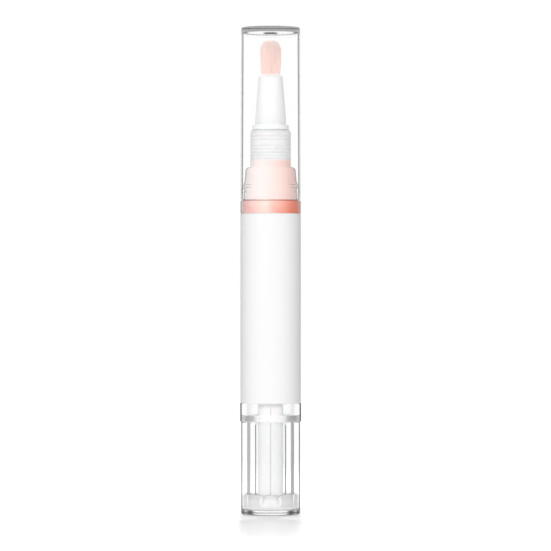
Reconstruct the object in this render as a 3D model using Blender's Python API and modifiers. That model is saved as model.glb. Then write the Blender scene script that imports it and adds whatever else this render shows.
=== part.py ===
"""Twist pen for nail colour: clear cap, brush, clear barrel with a label, and a clear twist knob.

Every size below is in millimetres; the mesh is written in metres. The pen stands on its knob, its axis is
the world Z axis, and the resting face is at z = 0. Round pieces are turned about that axis.
"""

import math

import bmesh
import bpy
from mathutils import Matrix, Vector

MM = 0.001
MERGE = 1e-6

# Facets round each kind of piece
SEG_OUTER = 40
SEG_INNER = 32
SEG_SMALL = 16

# Knob
KNOB_R = 8.45
KNOB_TOP_Z = 26.4
KNOB_FLOOR = 1.4
KNOB_BORE_R = 7.96
KNOB_EDGE = 0.4
BOSS_R = 4.46
BOSS_BORE_R = 4.06
BOSS_TOP_Z = 25.6

# Ratchet ring at the knob's foot
RING_Z0 = 1.55
RING_FLOOR_Z = 2.7
RING_R = 7.8
RING_BORE_R = 4.62
RING_COLLAR_R = 5.3
RING_COLLAR_Z = 4.4
TAB_COUNT = 10
TAB_TOP_Z = 5.8
TAB_INNER_R = 6.95
TAB_GAP_DEG = 2.5
TAB_ROUND = 1.0
TAB_RIB_R = 6.7
TAB_RIB_DEG = 3.0
TAB_STEPS = 6

# Drive tube
DRIVE_R = 3.64
DRIVE_FOOT_R = 3.98
DRIVE_FOOT_Z = 4.2
DRIVE_Z0 = 1.55
DRIVE_TOP_Z = 38.6
DRIVE_SLOT_Z0 = 6.1
DRIVE_SLOT_R = 2.45
DRIVE_SLOT_HALF = 1.55

# Housing that the knob turns on
HOUSING_R = 6.6
HOUSING_BORE_R = 5.77
HOUSING_Z0 = 3.2
HOUSING_TOP_Z = 36.0
GROOVE_COUNT = 20
GROOVE_DEPTH = 0.16
GROOVE_TOP_Z = 6.4

# Barrel
BARREL_R = 8.65
BARREL_Z0 = 26.6
BARREL_BORE_R = 6.75
MOUTH_R = 7.9
MOUTH_DEPTH = 1.6
RECESS_R = 8.40
RECESS_Z0 = 31.6
RECESS_Z1 = 85.95
COLLAR_TOP_Z = 89.6
NECK_R = 7.75
NECK_TOP_R = 7.2
NECK_TOP_Z = 99.1
NECK_BORE_R = 6.0
BEAD_R = 7.88
BEAD_Z = 93.6
BORE_CONE_Z0 = 85.8
BORE_CONE_Z1 = 87.8

# Label
LABEL_R0 = 8.44
LABEL_R1 = 8.63
LABEL_END_GAP = 0.12

# Seat between neck and cone
SEAT_R = 5.8
SEAT_PLUG_R = 5.9
SEAT_Z0 = 90.8
SEAT_TOP_Z = 109.8
SEAT_BORE_R = 4.95
SEAT_CEILING_Z = 107.5
SEAT_HOLE_R = 1.2
SPIGOT_R = 2.2
SPIGOT_TOP_Z = 113.8
SEAT_GROOVES_Z = (101.35, 102.45, 103.2, 106.2)

# Cone that holds the brush
CONE_Z0 = 109.85
FLANGE_R = 5.24
FLANGE_TOP_Z = 111.1
CONE_FOOT_R = 4.5
CONE_TOP_R = 3.43
CONE_TOP_Z = 125.1
CONE_SOCKET_R = 2.4
CONE_SOCKET_Z = 114.1
CONE_FEED_R = 1.2
TUFT_SOCKET_Z = 120.0
TUFT_SOCKET_R = 2.6

# Feed tube
FEED_R = 1.0
FEED_BORE_R = 0.6
FEED_Z0 = 108.0
FEED_TOP_Z = 119.8

# Brush tuft
TUFT_Z0 = 120.2
TUFT_BACK_Z = 121.3
TUFT_ROOT_R = 2.12
TUFT_BACK_R = 2.3
TUFT_TIP_Z = 135.1
TUFT_BELLY_R = 2.94
TUFT_BELLY_Z = 130.4
TUFT_PITCH = 0.233
STRAND_R = 0.085

# Liquid
FLUID_TOP_Z = 101.0
FLUID_R = 4.85
FLUID_NECK_R = 5.9
FLUID_BORE_R = 6.65
FLUID_SPLIT_Z = 84.0
COLUMN_Z0 = 52.3

# Piston and its ring
PISTON_Z0 = 43.9
PISTON_TOP_Z = 52.1
PISTON_R = 6.4
LIP_R = 6.68
SOCKET_R = 2.6
SOCKET_TOP_Z = 48.2
ORING_Z = 48.4
ORING_R = 6.2
ORING_WIRE = 0.48

# Lead screw
SCREW_LEAD = 3.0
SCREW_CREST_R = 2.2
SCREW_ROOT_R = 1.6
SCREW_FLAT_HALF = 1.35
SCREW_Z0 = 6.5
THREAD_TOP_Z = 43.6
SCREW_HEAD_Z0 = 45.4
SCREW_TOP_Z = 47.4
SCREW_NECK_R = 1.3
SCREW_SEG = 16

# Nut
NUT_R = 6.6
NUT_Z0 = 36.15
NUT_TOP_Z = 43.2
NUT_SKIRT_R = 5.6
NUT_SKIRT_Z0 = 31.9
NUT_GUIDE_R = 3.85
NUT_GUIDE_TOP_Z = 39.0
NUT_BORE_R = 2.45
LUG_INNER_R = 1.75
LUG_HALF_DEG = 14.0
LUG_HEIGHT = 0.8

# Cap
CAP_Z0 = 89.8
CAP_TOP_Z = 139.0
CAP_MOUTH_R = 8.6
CAP_TOP_R = 8.4
CAP_MOUTH_BORE_R = 8.08
CAP_TOP_BORE_R = 7.66
CAP_CEILING_Z = 137.2
CAP_EDGE = 0.3
CAP_CORNER = 0.95
CAP_RING_BORE_R = 7.96
CAP_RING_Z = 92.0
GATE_R = 2.0
GATE_DROP = 0.3


def clear_scene():
    """Removes what the scene starts with."""
    for obj in list(bpy.data.objects):
        bpy.data.objects.remove(obj, do_unlink=True)


def make_collection(name):
    """Returns a new collection linked to the scene."""
    coll = bpy.data.collections.new(name)
    bpy.context.scene.collection.children.link(coll)
    return coll


def make_material(name, colour, roughness, transmission=0.0, ior=1.5):
    """Returns a Principled material."""
    mat = bpy.data.materials.new(name)
    mat.use_nodes = True
    shader = mat.node_tree.nodes["Principled BSDF"]
    shader.inputs["Base Color"].default_value = (*colour, 1.0)
    shader.inputs["Roughness"].default_value = roughness
    shader.inputs["Metallic"].default_value = 0.0
    shader.inputs["Transmission Weight"].default_value = transmission
    shader.inputs["IOR"].default_value = ior
    mat.diffuse_color = (*colour, 1.0)
    return mat


def make_object(name, mesh, coll, material, parent, base_z):
    """Links a mesh whose points are in millimetres above base_z as an object standing at base_z."""
    mesh.materials.append(material)
    obj = bpy.data.objects.new(name, mesh)
    coll.objects.link(obj)
    obj.parent = parent
    parent_z = parent.matrix_world.translation.z if parent else 0.0
    obj.location = (0.0, 0.0, base_z * MM - parent_z)
    return obj


def make_empty(name, coll, z, parent):
    """Returns an empty on the pen's axis at height z."""
    empty = bpy.data.objects.new(name, None)
    empty.empty_display_size = 0.01
    coll.objects.link(empty)
    empty.parent = parent
    parent_z = parent.matrix_world.translation.z if parent else 0.0
    empty.location = (0.0, 0.0, z * MM - parent_z)
    bpy.context.view_layer.update()
    return empty


def profile_mesh(name, profile, base_z, closed):
    """Returns a mesh with only the profile's points and edges, in the XZ plane."""
    points = [(r * MM, 0.0, (z - base_z) * MM) for r, z in profile]
    edges = [(i, i + 1) for i in range(len(points) - 1)]
    if closed:
        edges.append((len(points) - 1, 0))
    mesh = bpy.data.meshes.new(name)
    mesh.from_pydata(points, edges, [])
    return mesh


def turn(obj, segments):
    """Adds the modifier that turns a profile about Z."""
    screw = obj.modifiers.new("turned", "SCREW")
    screw.axis = "Z"
    screw.angle = math.tau
    screw.steps = segments
    screw.render_steps = segments
    screw.use_merge_vertices = True
    screw.merge_threshold = MERGE
    screw.use_smooth_shade = True
    screw.use_normal_calculate = False
    return screw


def turned(name, profile, segments, coll, material, parent, closed=True):
    """Returns a piece turned from a profile given in millimetres."""
    base_z = min(z for _, z in profile)
    mesh = profile_mesh(name, profile, base_z, closed)
    obj = make_object(name, mesh, coll, material, parent, base_z)
    turn(obj, segments)
    return obj


def boolean(obj, cutter, operation):
    """Adds an exact Boolean with a cutter object."""
    mod = obj.modifiers.new(operation.lower() + "_" + cutter.name, "BOOLEAN")
    mod.operation = operation
    mod.solver = "EXACT"
    mod.object = cutter
    return mod


def hide_cutter(obj):
    """Keeps a cutter out of the render."""
    obj.hide_render = True
    obj.display_type = "WIRE"
    return obj


def mesh_from_bmesh(name, bm):
    """Writes a bmesh to a new mesh and frees it."""
    bmesh.ops.recalc_face_normals(bm, faces=bm.faces)
    mesh = bpy.data.meshes.new(name)
    bm.to_mesh(mesh)
    bm.free()
    return mesh


def cutter_object(name, bm, coll):
    """Makes a hidden cutter from a bmesh in metres."""
    obj = bpy.data.objects.new(name, mesh_from_bmesh(name, bm))
    coll.objects.link(obj)
    return hide_cutter(obj)


def add_box(bm, centre, size):
    """Adds a box, sizes in millimetres."""
    matrix = Matrix.Translation(Vector(centre) * MM) @ Matrix.Diagonal((*[s * MM for s in size], 1.0))
    bmesh.ops.create_cube(bm, size=1.0, matrix=matrix)


def add_polar_block(bm, inner, outer, z0, tops, angles):
    """Adds a block between two radii whose top height follows a list, one height for each angle."""
    columns = []
    for angle, top in zip(angles, tops):
        c, s = math.cos(angle), math.sin(angle)
        corners = ((inner, z0), (outer, z0), (outer, top), (inner, top))
        columns.append([bm.verts.new((r * c * MM, r * s * MM, z * MM)) for r, z in corners])
    for left, right in zip(columns, columns[1:]):
        for i in range(4):
            j = (i + 1) % 4
            bm.faces.new((left[i], left[j], right[j], right[i]))
    bm.faces.new(columns[0])
    bm.faces.new(list(reversed(columns[-1])))


def knob_profile():
    """Cup with a rounded foot and a centre boss, from the boss's floor outwards and down the outer side."""
    return [
        (0.0, KNOB_FLOOR),
        (BOSS_BORE_R, KNOB_FLOOR),
        (BOSS_BORE_R, BOSS_TOP_Z),
        (BOSS_R, BOSS_TOP_Z),
        (BOSS_R, KNOB_FLOOR),
        (KNOB_BORE_R, KNOB_FLOOR),
        (KNOB_BORE_R, KNOB_TOP_Z),
        (KNOB_R - 0.12, KNOB_TOP_Z),
        (KNOB_R, KNOB_TOP_Z - 0.12),
        (KNOB_R, KNOB_EDGE),
        (KNOB_R - 0.29 * KNOB_EDGE, 0.29 * KNOB_EDGE),
        (KNOB_R - KNOB_EDGE, 0.0),
        (0.0, 0.0),
    ]


def barrel_profile():
    """Clear barrel from the neck's lip down to its mouth, then back up the bore."""
    return [
        (NECK_BORE_R + 0.12, NECK_TOP_Z),
        (NECK_TOP_R - 0.75, NECK_TOP_Z - 0.1),
        (NECK_TOP_R - 0.25, NECK_TOP_Z - 0.42),
        (NECK_TOP_R, NECK_TOP_Z - 1.1),
        (NECK_TOP_R + 0.35, BEAD_Z + 0.62),
        (BEAD_R, BEAD_Z + 0.3),
        (BEAD_R, BEAD_Z - 0.3),
        (NECK_R - 0.17, BEAD_Z - 0.75),
        (NECK_R, BEAD_Z - 1.1),
        (NECK_R, COLLAR_TOP_Z),
        (BARREL_R - 0.15, COLLAR_TOP_Z),
        (BARREL_R, COLLAR_TOP_Z - 0.15),
        (BARREL_R, RECESS_Z1),
        (RECESS_R, RECESS_Z1),
        (RECESS_R, RECESS_Z0),
        (BARREL_R, RECESS_Z0),
        (BARREL_R, BARREL_Z0 + 0.25),
        (BARREL_R - 0.25, BARREL_Z0),
        (MOUTH_R, BARREL_Z0),
        (BARREL_BORE_R, BARREL_Z0 + MOUTH_DEPTH),
        (BARREL_BORE_R, BORE_CONE_Z0),
        (NECK_BORE_R, BORE_CONE_Z1),
        (NECK_BORE_R, NECK_TOP_Z - 0.12),
    ]


def seat_profile():
    """Seat: nozzle on top, chamfered shoulder, ring grooves, plug in the neck."""
    outer = [
        (SPIGOT_R - 0.2, SPIGOT_TOP_Z),
        (SPIGOT_R, SPIGOT_TOP_Z - 0.3),
        (SPIGOT_R, SEAT_TOP_Z),
        (SEAT_R - 0.9, SEAT_TOP_Z),
        (SEAT_R - 0.27, SEAT_TOP_Z - 0.35),
        (SEAT_R, SEAT_TOP_Z - 0.95),
    ]
    for z in sorted(SEAT_GROOVES_Z, reverse=True):
        outer += [(SEAT_R, z + 0.16), (SEAT_R - 0.12, z), (SEAT_R, z - 0.16)]
    outer += [
        (SEAT_R, NECK_TOP_Z + 0.1),
        (SEAT_PLUG_R, NECK_TOP_Z - 0.1),
        (SEAT_PLUG_R, SEAT_Z0 + 0.4),
        (SEAT_PLUG_R - 0.3, SEAT_Z0),
    ]
    inner = [
        (SEAT_BORE_R, SEAT_Z0),
        (SEAT_BORE_R, SEAT_CEILING_Z),
        (SEAT_HOLE_R, SEAT_CEILING_Z),
        (SEAT_HOLE_R, SPIGOT_TOP_Z),
    ]
    return outer + inner


def cone_profile():
    """White cone with a base flange and a socket at each end."""
    return [
        (CONE_TOP_R - 0.22, CONE_TOP_Z),
        (CONE_TOP_R, CONE_TOP_Z - 0.25),
        (CONE_FOOT_R, FLANGE_TOP_Z + 0.55),
        (CONE_FOOT_R + 0.12, FLANGE_TOP_Z),
        (FLANGE_R - 0.1, FLANGE_TOP_Z),
        (FLANGE_R, FLANGE_TOP_Z - 0.12),
        (FLANGE_R, CONE_Z0),
        (CONE_SOCKET_R, CONE_Z0),
        (CONE_SOCKET_R, CONE_SOCKET_Z),
        (CONE_FEED_R, CONE_SOCKET_Z),
        (CONE_FEED_R, TUFT_SOCKET_Z),
        (TUFT_SOCKET_R, TUFT_SOCKET_Z),
        (TUFT_SOCKET_R, CONE_TOP_Z - 1.1),
        (TUFT_SOCKET_R + 0.2, CONE_TOP_Z),
    ]


def cap_profile():
    """Tapered cap with a thick ceiling, a gate mark under it and a snap ring in its mouth."""
    return [
        (0.0, CAP_TOP_Z),
        (CAP_TOP_R - CAP_EDGE, CAP_TOP_Z),
        (CAP_TOP_R - 0.29 * CAP_EDGE, CAP_TOP_Z - 0.29 * CAP_EDGE),
        (CAP_TOP_R, CAP_TOP_Z - CAP_EDGE),
        (CAP_MOUTH_R, CAP_Z0 + 0.1),
        (CAP_MOUTH_R - 0.1, CAP_Z0),
        (CAP_MOUTH_BORE_R, CAP_Z0),
        (CAP_MOUTH_BORE_R, CAP_RING_Z - 0.5),
        (CAP_RING_BORE_R, CAP_RING_Z - 0.2),
        (CAP_RING_BORE_R, CAP_RING_Z + 0.2),
        (CAP_MOUTH_BORE_R, CAP_RING_Z + 0.5),
        (CAP_TOP_BORE_R, CAP_CEILING_Z - CAP_CORNER),
        (CAP_TOP_BORE_R - 0.29 * CAP_CORNER, CAP_CEILING_Z - 0.29 * CAP_CORNER),
        (CAP_TOP_BORE_R - CAP_CORNER, CAP_CEILING_Z),
        (GATE_R, CAP_CEILING_Z),
        (GATE_R - 0.5, CAP_CEILING_Z - GATE_DROP),
        (0.0, CAP_CEILING_Z - GATE_DROP),
    ]


def fluid_neck_profile():
    """Liquid in the seat, the neck and the shoulder."""
    return [
        (0.0, FLUID_TOP_Z),
        (FLUID_R, FLUID_TOP_Z),
        (FLUID_R, SEAT_Z0 - 0.15),
        (FLUID_NECK_R, SEAT_Z0 - 0.15),
        (FLUID_NECK_R, BORE_CONE_Z1),
        (FLUID_BORE_R, BORE_CONE_Z0),
        (FLUID_BORE_R, FLUID_SPLIT_Z),
        (0.0, FLUID_SPLIT_Z),
    ]


def piston_profile():
    """Plunger with a lip at each end, a groove for its ring and a socket for the screw's head."""
    return [
        (0.0, PISTON_TOP_Z - 0.3),
        (LIP_R - 1.1, PISTON_TOP_Z - 0.3),
        (LIP_R - 0.25, PISTON_TOP_Z),
        (LIP_R, PISTON_TOP_Z - 0.2),
        (PISTON_R, PISTON_TOP_Z - 1.4),
        (PISTON_R, ORING_Z + 0.65),
        (ORING_R - ORING_WIRE - 0.1, ORING_Z + 0.65),
        (ORING_R - ORING_WIRE - 0.1, ORING_Z - 0.65),
        (PISTON_R, ORING_Z - 0.65),
        (PISTON_R, PISTON_Z0 + 1.3),
        (LIP_R, PISTON_Z0 + 0.2),
        (LIP_R - 0.3, PISTON_Z0),
        (SOCKET_R, PISTON_Z0),
        (SOCKET_R, SOCKET_TOP_Z),
        (0.0, SOCKET_TOP_Z),
    ]


def ring_section(centre_r, centre_z, wire, count):
    """Round section of a ring, run so that the outside of the section faces out."""
    points = []
    for i in range(count):
        angle = math.pi / 2 - math.tau * i / count
        points.append((centre_r + wire * math.cos(angle), centre_z + wire * math.sin(angle)))
    return points


def build_ratchet_ring(coll, cutters, material, parent):
    """Ring with a floor, an inner collar and rounded springy tabs, each with a small inner rib."""
    profile = [
        (RING_COLLAR_R, RING_COLLAR_Z),
        (RING_COLLAR_R, RING_FLOOR_Z),
        (RING_R, RING_FLOOR_Z),
        (RING_R, RING_Z0),
        (RING_BORE_R, RING_Z0),
        (RING_BORE_R, RING_COLLAR_Z),
    ]
    ring = turned("ratchet_ring", profile, SEG_OUTER, coll, material, parent)
    bm = bmesh.new()
    ribs = bmesh.new()
    half = math.pi / TAB_COUNT - math.radians(TAB_GAP_DEG) / 2
    rib_half = math.radians(TAB_RIB_DEG) / 2
    rib_top = TAB_TOP_Z - RING_Z0 - TAB_ROUND
    for k in range(TAB_COUNT):
        middle = math.tau * (k + 0.5) / TAB_COUNT
        shares = [2.0 * i / TAB_STEPS - 1.0 for i in range(TAB_STEPS + 1)]
        angles = [middle + share * half for share in shares]
        tops = [TAB_TOP_Z - RING_Z0 - TAB_ROUND * share ** 4 for share in shares]
        add_polar_block(bm, TAB_INNER_R, RING_R - 0.02, 0.5, tops, angles)
        sides = (middle - rib_half, middle + rib_half)
        add_polar_block(ribs, TAB_RIB_R, TAB_INNER_R + 0.2, 0.6, (rib_top, rib_top), sides)
    for name, blocks in (("tab_row", bm), ("rib_row", ribs)):
        row = cutter_object(name, blocks, cutters)
        row.location = (0.0, 0.0, RING_Z0 * MM)
        boolean(ring, row, "UNION")
    return ring


def build_housing(coll, cutters, material):
    """Clear tube with shallow click grooves round its lower end."""
    profile = [
        (HOUSING_R - 0.15, HOUSING_TOP_Z),
        (HOUSING_R, HOUSING_TOP_Z - 0.2),
        (HOUSING_R, HOUSING_Z0 + 0.3),
        (HOUSING_R - 0.25, HOUSING_Z0),
        (HOUSING_BORE_R, HOUSING_Z0),
        (HOUSING_BORE_R, HOUSING_TOP_Z),
    ]
    housing = turned("tail_housing", profile, SEG_OUTER, coll, material, None)
    bm = bmesh.new()
    height = GROOVE_TOP_Z - HOUSING_Z0 + 1.0
    for k in range(GROOVE_COUNT):
        angle = math.tau * (k + 0.5) / GROOVE_COUNT
        c, s = math.cos(angle), math.sin(angle)
        matrix = Matrix.Translation(Vector((HOUSING_R * c, HOUSING_R * s, height / 2 - 1.0)) * MM)
        matrix = matrix @ Matrix.Rotation(angle + math.pi / 4, 4, "Z")
        side = GROOVE_DEPTH * math.sqrt(2.0)
        matrix = matrix @ Matrix.Diagonal((side * MM, side * MM, height * MM, 1.0))
        bmesh.ops.create_cube(bm, size=1.0, matrix=matrix)
    grooves = cutter_object("click_grooves", bm, cutters)
    grooves.location = (0.0, 0.0, HOUSING_Z0 * MM)
    boolean(housing, grooves, "DIFFERENCE")
    return housing


def build_drive_tube(coll, cutters, material, parent):
    """White stem with a press foot and a flat-sided slot that drives the screw."""
    profile = [
        (0.0, DRIVE_TOP_Z),
        (DRIVE_R - 0.15, DRIVE_TOP_Z),
        (DRIVE_R, DRIVE_TOP_Z - 0.15),
        (DRIVE_R, DRIVE_FOOT_Z + 0.2),
        (DRIVE_FOOT_R, DRIVE_FOOT_Z),
        (DRIVE_FOOT_R, DRIVE_Z0),
        (0.0, DRIVE_Z0),
    ]
    tube = turned("drive_tube", profile, SEG_INNER, coll, material, parent, closed=False)
    bm = bmesh.new()
    half_y = math.sqrt(DRIVE_SLOT_R ** 2 - DRIVE_SLOT_HALF ** 2)
    start = math.atan2(half_y, DRIVE_SLOT_HALF)
    steps = 6
    arc = [start + (math.pi - 2 * start) * i / steps for i in range(steps + 1)]
    ring = [(DRIVE_SLOT_R * math.cos(a), DRIVE_SLOT_R * math.sin(a)) for a in arc]
    ring += [(-x, -y) for x, y in ring]
    height = DRIVE_TOP_Z + 1.0 - DRIVE_SLOT_Z0
    low = [bm.verts.new((x * MM, y * MM, 0.0)) for x, y in ring]
    high = [bm.verts.new((x * MM, y * MM, height * MM)) for x, y in ring]
    bm.faces.new(list(reversed(low)))
    bm.faces.new(high)
    for i in range(len(ring)):
        j = (i + 1) % len(ring)
        bm.faces.new((low[i], low[j], high[j], high[i]))
    slot = cutter_object("drive_slot", bm, cutters)
    slot.location = (0.0, 0.0, DRIVE_SLOT_Z0 * MM)
    boolean(tube, slot, "DIFFERENCE")
    return tube


def thread_mesh(name, base_z, top_z):
    """Right-handed single thread as one closed skin, a turn too long at both ends."""
    knots = (
        (0.0, SCREW_ROOT_R),
        (1.5, SCREW_ROOT_R),
        (1.85, SCREW_CREST_R),
        (2.65, SCREW_CREST_R),
    )
    turns = int((top_z - base_z) / SCREW_LEAD) + 3
    bm = bmesh.new()
    rows = []
    for t in range(turns * SCREW_SEG + 1):
        angle = math.tau * t / SCREW_SEG
        lift = SCREW_LEAD * (t / SCREW_SEG - 1.0)
        c, s = math.cos(angle), math.sin(angle)
        rows.append([bm.verts.new((r * c * MM, r * s * MM, (lift + z) * MM)) for z, r in knots])
    last = len(knots)

    def point(t, i):
        """Point i of row t; the point past the last one is the first point a turn on."""
        return rows[t][i] if i < last else rows[t + SCREW_SEG][0]

    end = len(rows) - 1 - SCREW_SEG
    for t in range(end):
        for i in range(last):
            bm.faces.new((point(t, i), point(t + 1, i), point(t + 1, i + 1), point(t, i + 1)))
    foot_loop = [rows[t][0] for t in range(SCREW_SEG + 1)] + [rows[0][i] for i in range(last - 1, 0, -1)]
    head_loop = [rows[end + t][0] for t in range(SCREW_SEG + 1)] + [rows[end][i] for i in range(last - 1, 0, -1)]
    for loop in (foot_loop, head_loop):
        centre = sum((v.co.z for v in loop)) / len(loop)
        hub = bm.verts.new((0.0, 0.0, centre))
        for a, b in zip(loop, loop[1:] + loop[:1]):
            bm.faces.new((hub, a, b))
    for vert in [v for v in bm.verts if not v.link_faces]:
        bm.verts.remove(vert)
    return mesh_from_bmesh(name, bm)


def build_screw(coll, cutters, material, parent):
    """Threaded rod with two flats, a plain neck and a round head."""
    profile = [
        (0.0, SCREW_TOP_Z),
        (SCREW_CREST_R - 0.3, SCREW_TOP_Z),
        (SCREW_CREST_R, SCREW_TOP_Z - 0.3),
        (SCREW_CREST_R, SCREW_HEAD_Z0),
        (SCREW_NECK_R, SCREW_HEAD_Z0),
        (SCREW_NECK_R, THREAD_TOP_Z - 0.6),
        (0.0, THREAD_TOP_Z - 0.6),
    ]
    mesh = thread_mesh("lead_screw", SCREW_Z0, THREAD_TOP_Z)
    screw = make_object("lead_screw", mesh, coll, material, parent, SCREW_Z0)
    bm = bmesh.new()
    length = THREAD_TOP_Z - SCREW_Z0
    add_box(bm, (0.0, 0.0, length / 2), (2 * SCREW_FLAT_HALF, 8.0, length))
    trim = cutter_object("screw_trim", bm, cutters)
    trim.location = (0.0, 0.0, SCREW_Z0 * MM)
    boolean(screw, trim, "INTERSECT")
    head_base = min(z for _, z in profile)
    head_mesh = profile_mesh("screw_head", profile, head_base, False)
    head = bpy.data.objects.new("screw_head", head_mesh)
    cutters.objects.link(head)
    head.location = (0.0, 0.0, head_base * MM)
    turn(head, SEG_SMALL)
    hide_cutter(head)
    boolean(screw, head, "UNION")
    return screw


def build_nut(coll, cutters, material):
    """Nut with a guide bore for the stem and two lugs that run in the thread."""
    profile = [
        (NUT_BORE_R, NUT_TOP_Z),
        (NUT_R - 0.3, NUT_TOP_Z),
        (NUT_R, NUT_TOP_Z - 0.3),
        (NUT_R, NUT_Z0),
        (NUT_SKIRT_R, NUT_Z0),
        (NUT_SKIRT_R, NUT_SKIRT_Z0),
        (NUT_GUIDE_R, NUT_SKIRT_Z0),
        (NUT_GUIDE_R, NUT_GUIDE_TOP_Z),
        (NUT_BORE_R, NUT_GUIDE_TOP_Z + 0.9),
    ]
    nut = turned("drive_nut", profile, SEG_INNER, coll, material, None)
    bm = bmesh.new()
    for side in (0, 1):
        angle = math.pi / 2 + math.pi * side
        middle = lug_height(angle)
        half = math.radians(LUG_HALF_DEG)
        steps = 4
        angles = [angle + half * (2.0 * i / steps - 1.0) for i in range(steps + 1)]
        low = middle - LUG_HEIGHT / 2 - NUT_SKIRT_Z0
        tops = [low + LUG_HEIGHT] * (steps + 1)
        add_polar_block(bm, LUG_INNER_R, NUT_BORE_R + 0.5, low, tops, angles)
    lugs = cutter_object("nut_lugs", bm, cutters)
    lugs.location = (0.0, 0.0, NUT_SKIRT_Z0 * MM)
    boolean(nut, lugs, "UNION")
    return nut


def lug_height(angle):
    """Height of the thread's groove at an angle, in the nut's upper half."""
    groove = SCREW_Z0 + SCREW_LEAD * angle / math.tau + 0.75
    return groove + SCREW_LEAD * math.floor((NUT_TOP_Z - 0.7 - groove) / SCREW_LEAD)


def tuft_radius(z):
    """How far out the outermost strand stands at height z."""
    share = (z - TUFT_BACK_Z) / (TUFT_BELLY_Z - TUFT_BACK_Z)
    return TUFT_ROOT_R + (TUFT_BELLY_R - TUFT_ROOT_R) * min(max(share, 0.0), 1.0)


def strand_roots():
    """Places of the strands as shares of the tuft's radius, on an even triangular grid."""
    roots = []
    reach = int(TUFT_ROOT_R / TUFT_PITCH) + 2
    for row in range(-reach, reach + 1):
        y = row * TUFT_PITCH * math.sqrt(3.0) / 2
        for col in range(-reach, reach + 1):
            x = (col + 0.5 * (row % 2)) * TUFT_PITCH
            share = math.hypot(x, y) / TUFT_ROOT_R
            if share <= 1.0:
                roots.append((share, math.atan2(y, x)))
    return roots


def build_bristles(coll, cutters, material):
    """Bullet-shaped tuft of fine three-sided strands on one slice of backing."""
    bm = bmesh.new()
    for share, angle in strand_roots():
        tip_z = TUFT_TIP_Z - 3.3 * share ** 3.2
        heights = (TUFT_BACK_Z - 0.4, TUFT_BELLY_Z)
        c, s = math.cos(angle), math.sin(angle)
        rings = []
        for z in heights:
            out = share * tuft_radius(z)
            ring = []
            for k in range(3):
                turn_angle = angle + math.tau * k / 3
                x = out * c + STRAND_R * math.cos(turn_angle)
                y = out * s + STRAND_R * math.sin(turn_angle)
                ring.append(bm.verts.new((x * MM, y * MM, (z - TUFT_Z0) * MM)))
            rings.append(ring)
        out = share * tuft_radius(tip_z) * (1.0 - 0.06 * share)
        tip = bm.verts.new((out * c * MM, out * s * MM, (tip_z - TUFT_Z0) * MM))
        bm.faces.new(list(reversed(rings[0])))
        for low, high in zip(rings, rings[1:]):
            for k in range(3):
                j = (k + 1) % 3
                bm.faces.new((low[k], low[j], high[j], high[k]))
        for k in range(3):
            bm.faces.new((rings[-1][k], rings[-1][(k + 1) % 3], tip))
    strands = cutter_object("strands", bm, cutters)
    strands.location = (0.0, 0.0, TUFT_Z0 * MM)
    profile = [
        (0.0, TUFT_BACK_Z),
        (TUFT_BACK_R, TUFT_BACK_Z),
        (TUFT_BACK_R, TUFT_Z0),
        (0.0, TUFT_Z0),
    ]
    tuft = turned("brush_bristles", profile, SEG_SMALL * 2, coll, material, None, closed=False)
    boolean(tuft, strands, "UNION")
    return tuft


def build_materials():
    """One material for each kind of plastic and for the liquid."""
    return {
        "clear": make_material("clear_plastic", (0.95, 0.96, 0.96), 0.05, 1.0, 1.5),
        "frosted": make_material("frosted_plastic", (0.86, 0.86, 0.86), 0.4, 0.5, 1.5),
        "white": make_material("white_plastic", (0.93, 0.93, 0.93), 0.35),
        "label": make_material("label_film", (0.96, 0.96, 0.96), 0.5),
        "fluid": make_material("pink_fluid", (0.93, 0.62, 0.56), 0.15, 0.3, 1.4),
        "tuft": make_material("brush_fibre", (0.96, 0.74, 0.67), 0.6),
        "seal": make_material("seal_rubber", (0.25, 0.25, 0.26), 0.6),
    }


def build_head(coll, cutters, mats):
    """Brush, cone, feed tube, seat and liquid above the barrel."""
    build_bristles(coll, cutters, mats["tuft"])
    turned("brush_ferrule", cone_profile(), SEG_INNER, coll, mats["white"], None)
    feed = [
        (FEED_R, FEED_TOP_Z),
        (FEED_R, FEED_Z0),
        (FEED_BORE_R, FEED_Z0),
        (FEED_BORE_R, FEED_TOP_Z),
    ]
    turned("feed_tube", feed, SEG_SMALL, coll, mats["white"], None)
    turned("brush_seat", seat_profile(), SEG_INNER, coll, mats["frosted"], None)
    turned("fluid_neck", fluid_neck_profile(), SEG_INNER, coll, mats["fluid"], None, closed=False)


def build_barrel(coll, cutters, mats):
    """Barrel, label, housing, nut and the liquid in the bore."""
    turned("barrel", barrel_profile(), SEG_OUTER, coll, mats["clear"], None)
    label = [
        (LABEL_R1, RECESS_Z1 - LABEL_END_GAP),
        (LABEL_R1, RECESS_Z0 + LABEL_END_GAP),
        (LABEL_R0, RECESS_Z0 + LABEL_END_GAP),
        (LABEL_R0, RECESS_Z1 - LABEL_END_GAP),
    ]
    turned("label", label, SEG_OUTER, coll, mats["label"], None)
    build_housing(coll, cutters, mats["clear"])
    build_nut(coll, cutters, mats["white"])
    column = [
        (0.0, FLUID_SPLIT_Z - 0.1),
        (FLUID_BORE_R, FLUID_SPLIT_Z - 0.1),
        (FLUID_BORE_R, COLUMN_Z0),
        (0.0, COLUMN_Z0),
    ]
    turned("fluid_column", column, SEG_INNER, coll, mats["fluid"], None, closed=False)


def build_piston(coll, mats):
    """Piston and its seal ring, carried by an empty on their sliding axis."""
    axis = make_empty("piston_axis", coll, PISTON_Z0, None)
    turned("piston", piston_profile(), SEG_INNER, coll, mats["white"], axis, closed=False)
    section = ring_section(ORING_R, ORING_Z, ORING_WIRE, 8)
    turned("piston_ring", section, SEG_INNER, coll, mats["seal"], axis)


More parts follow.
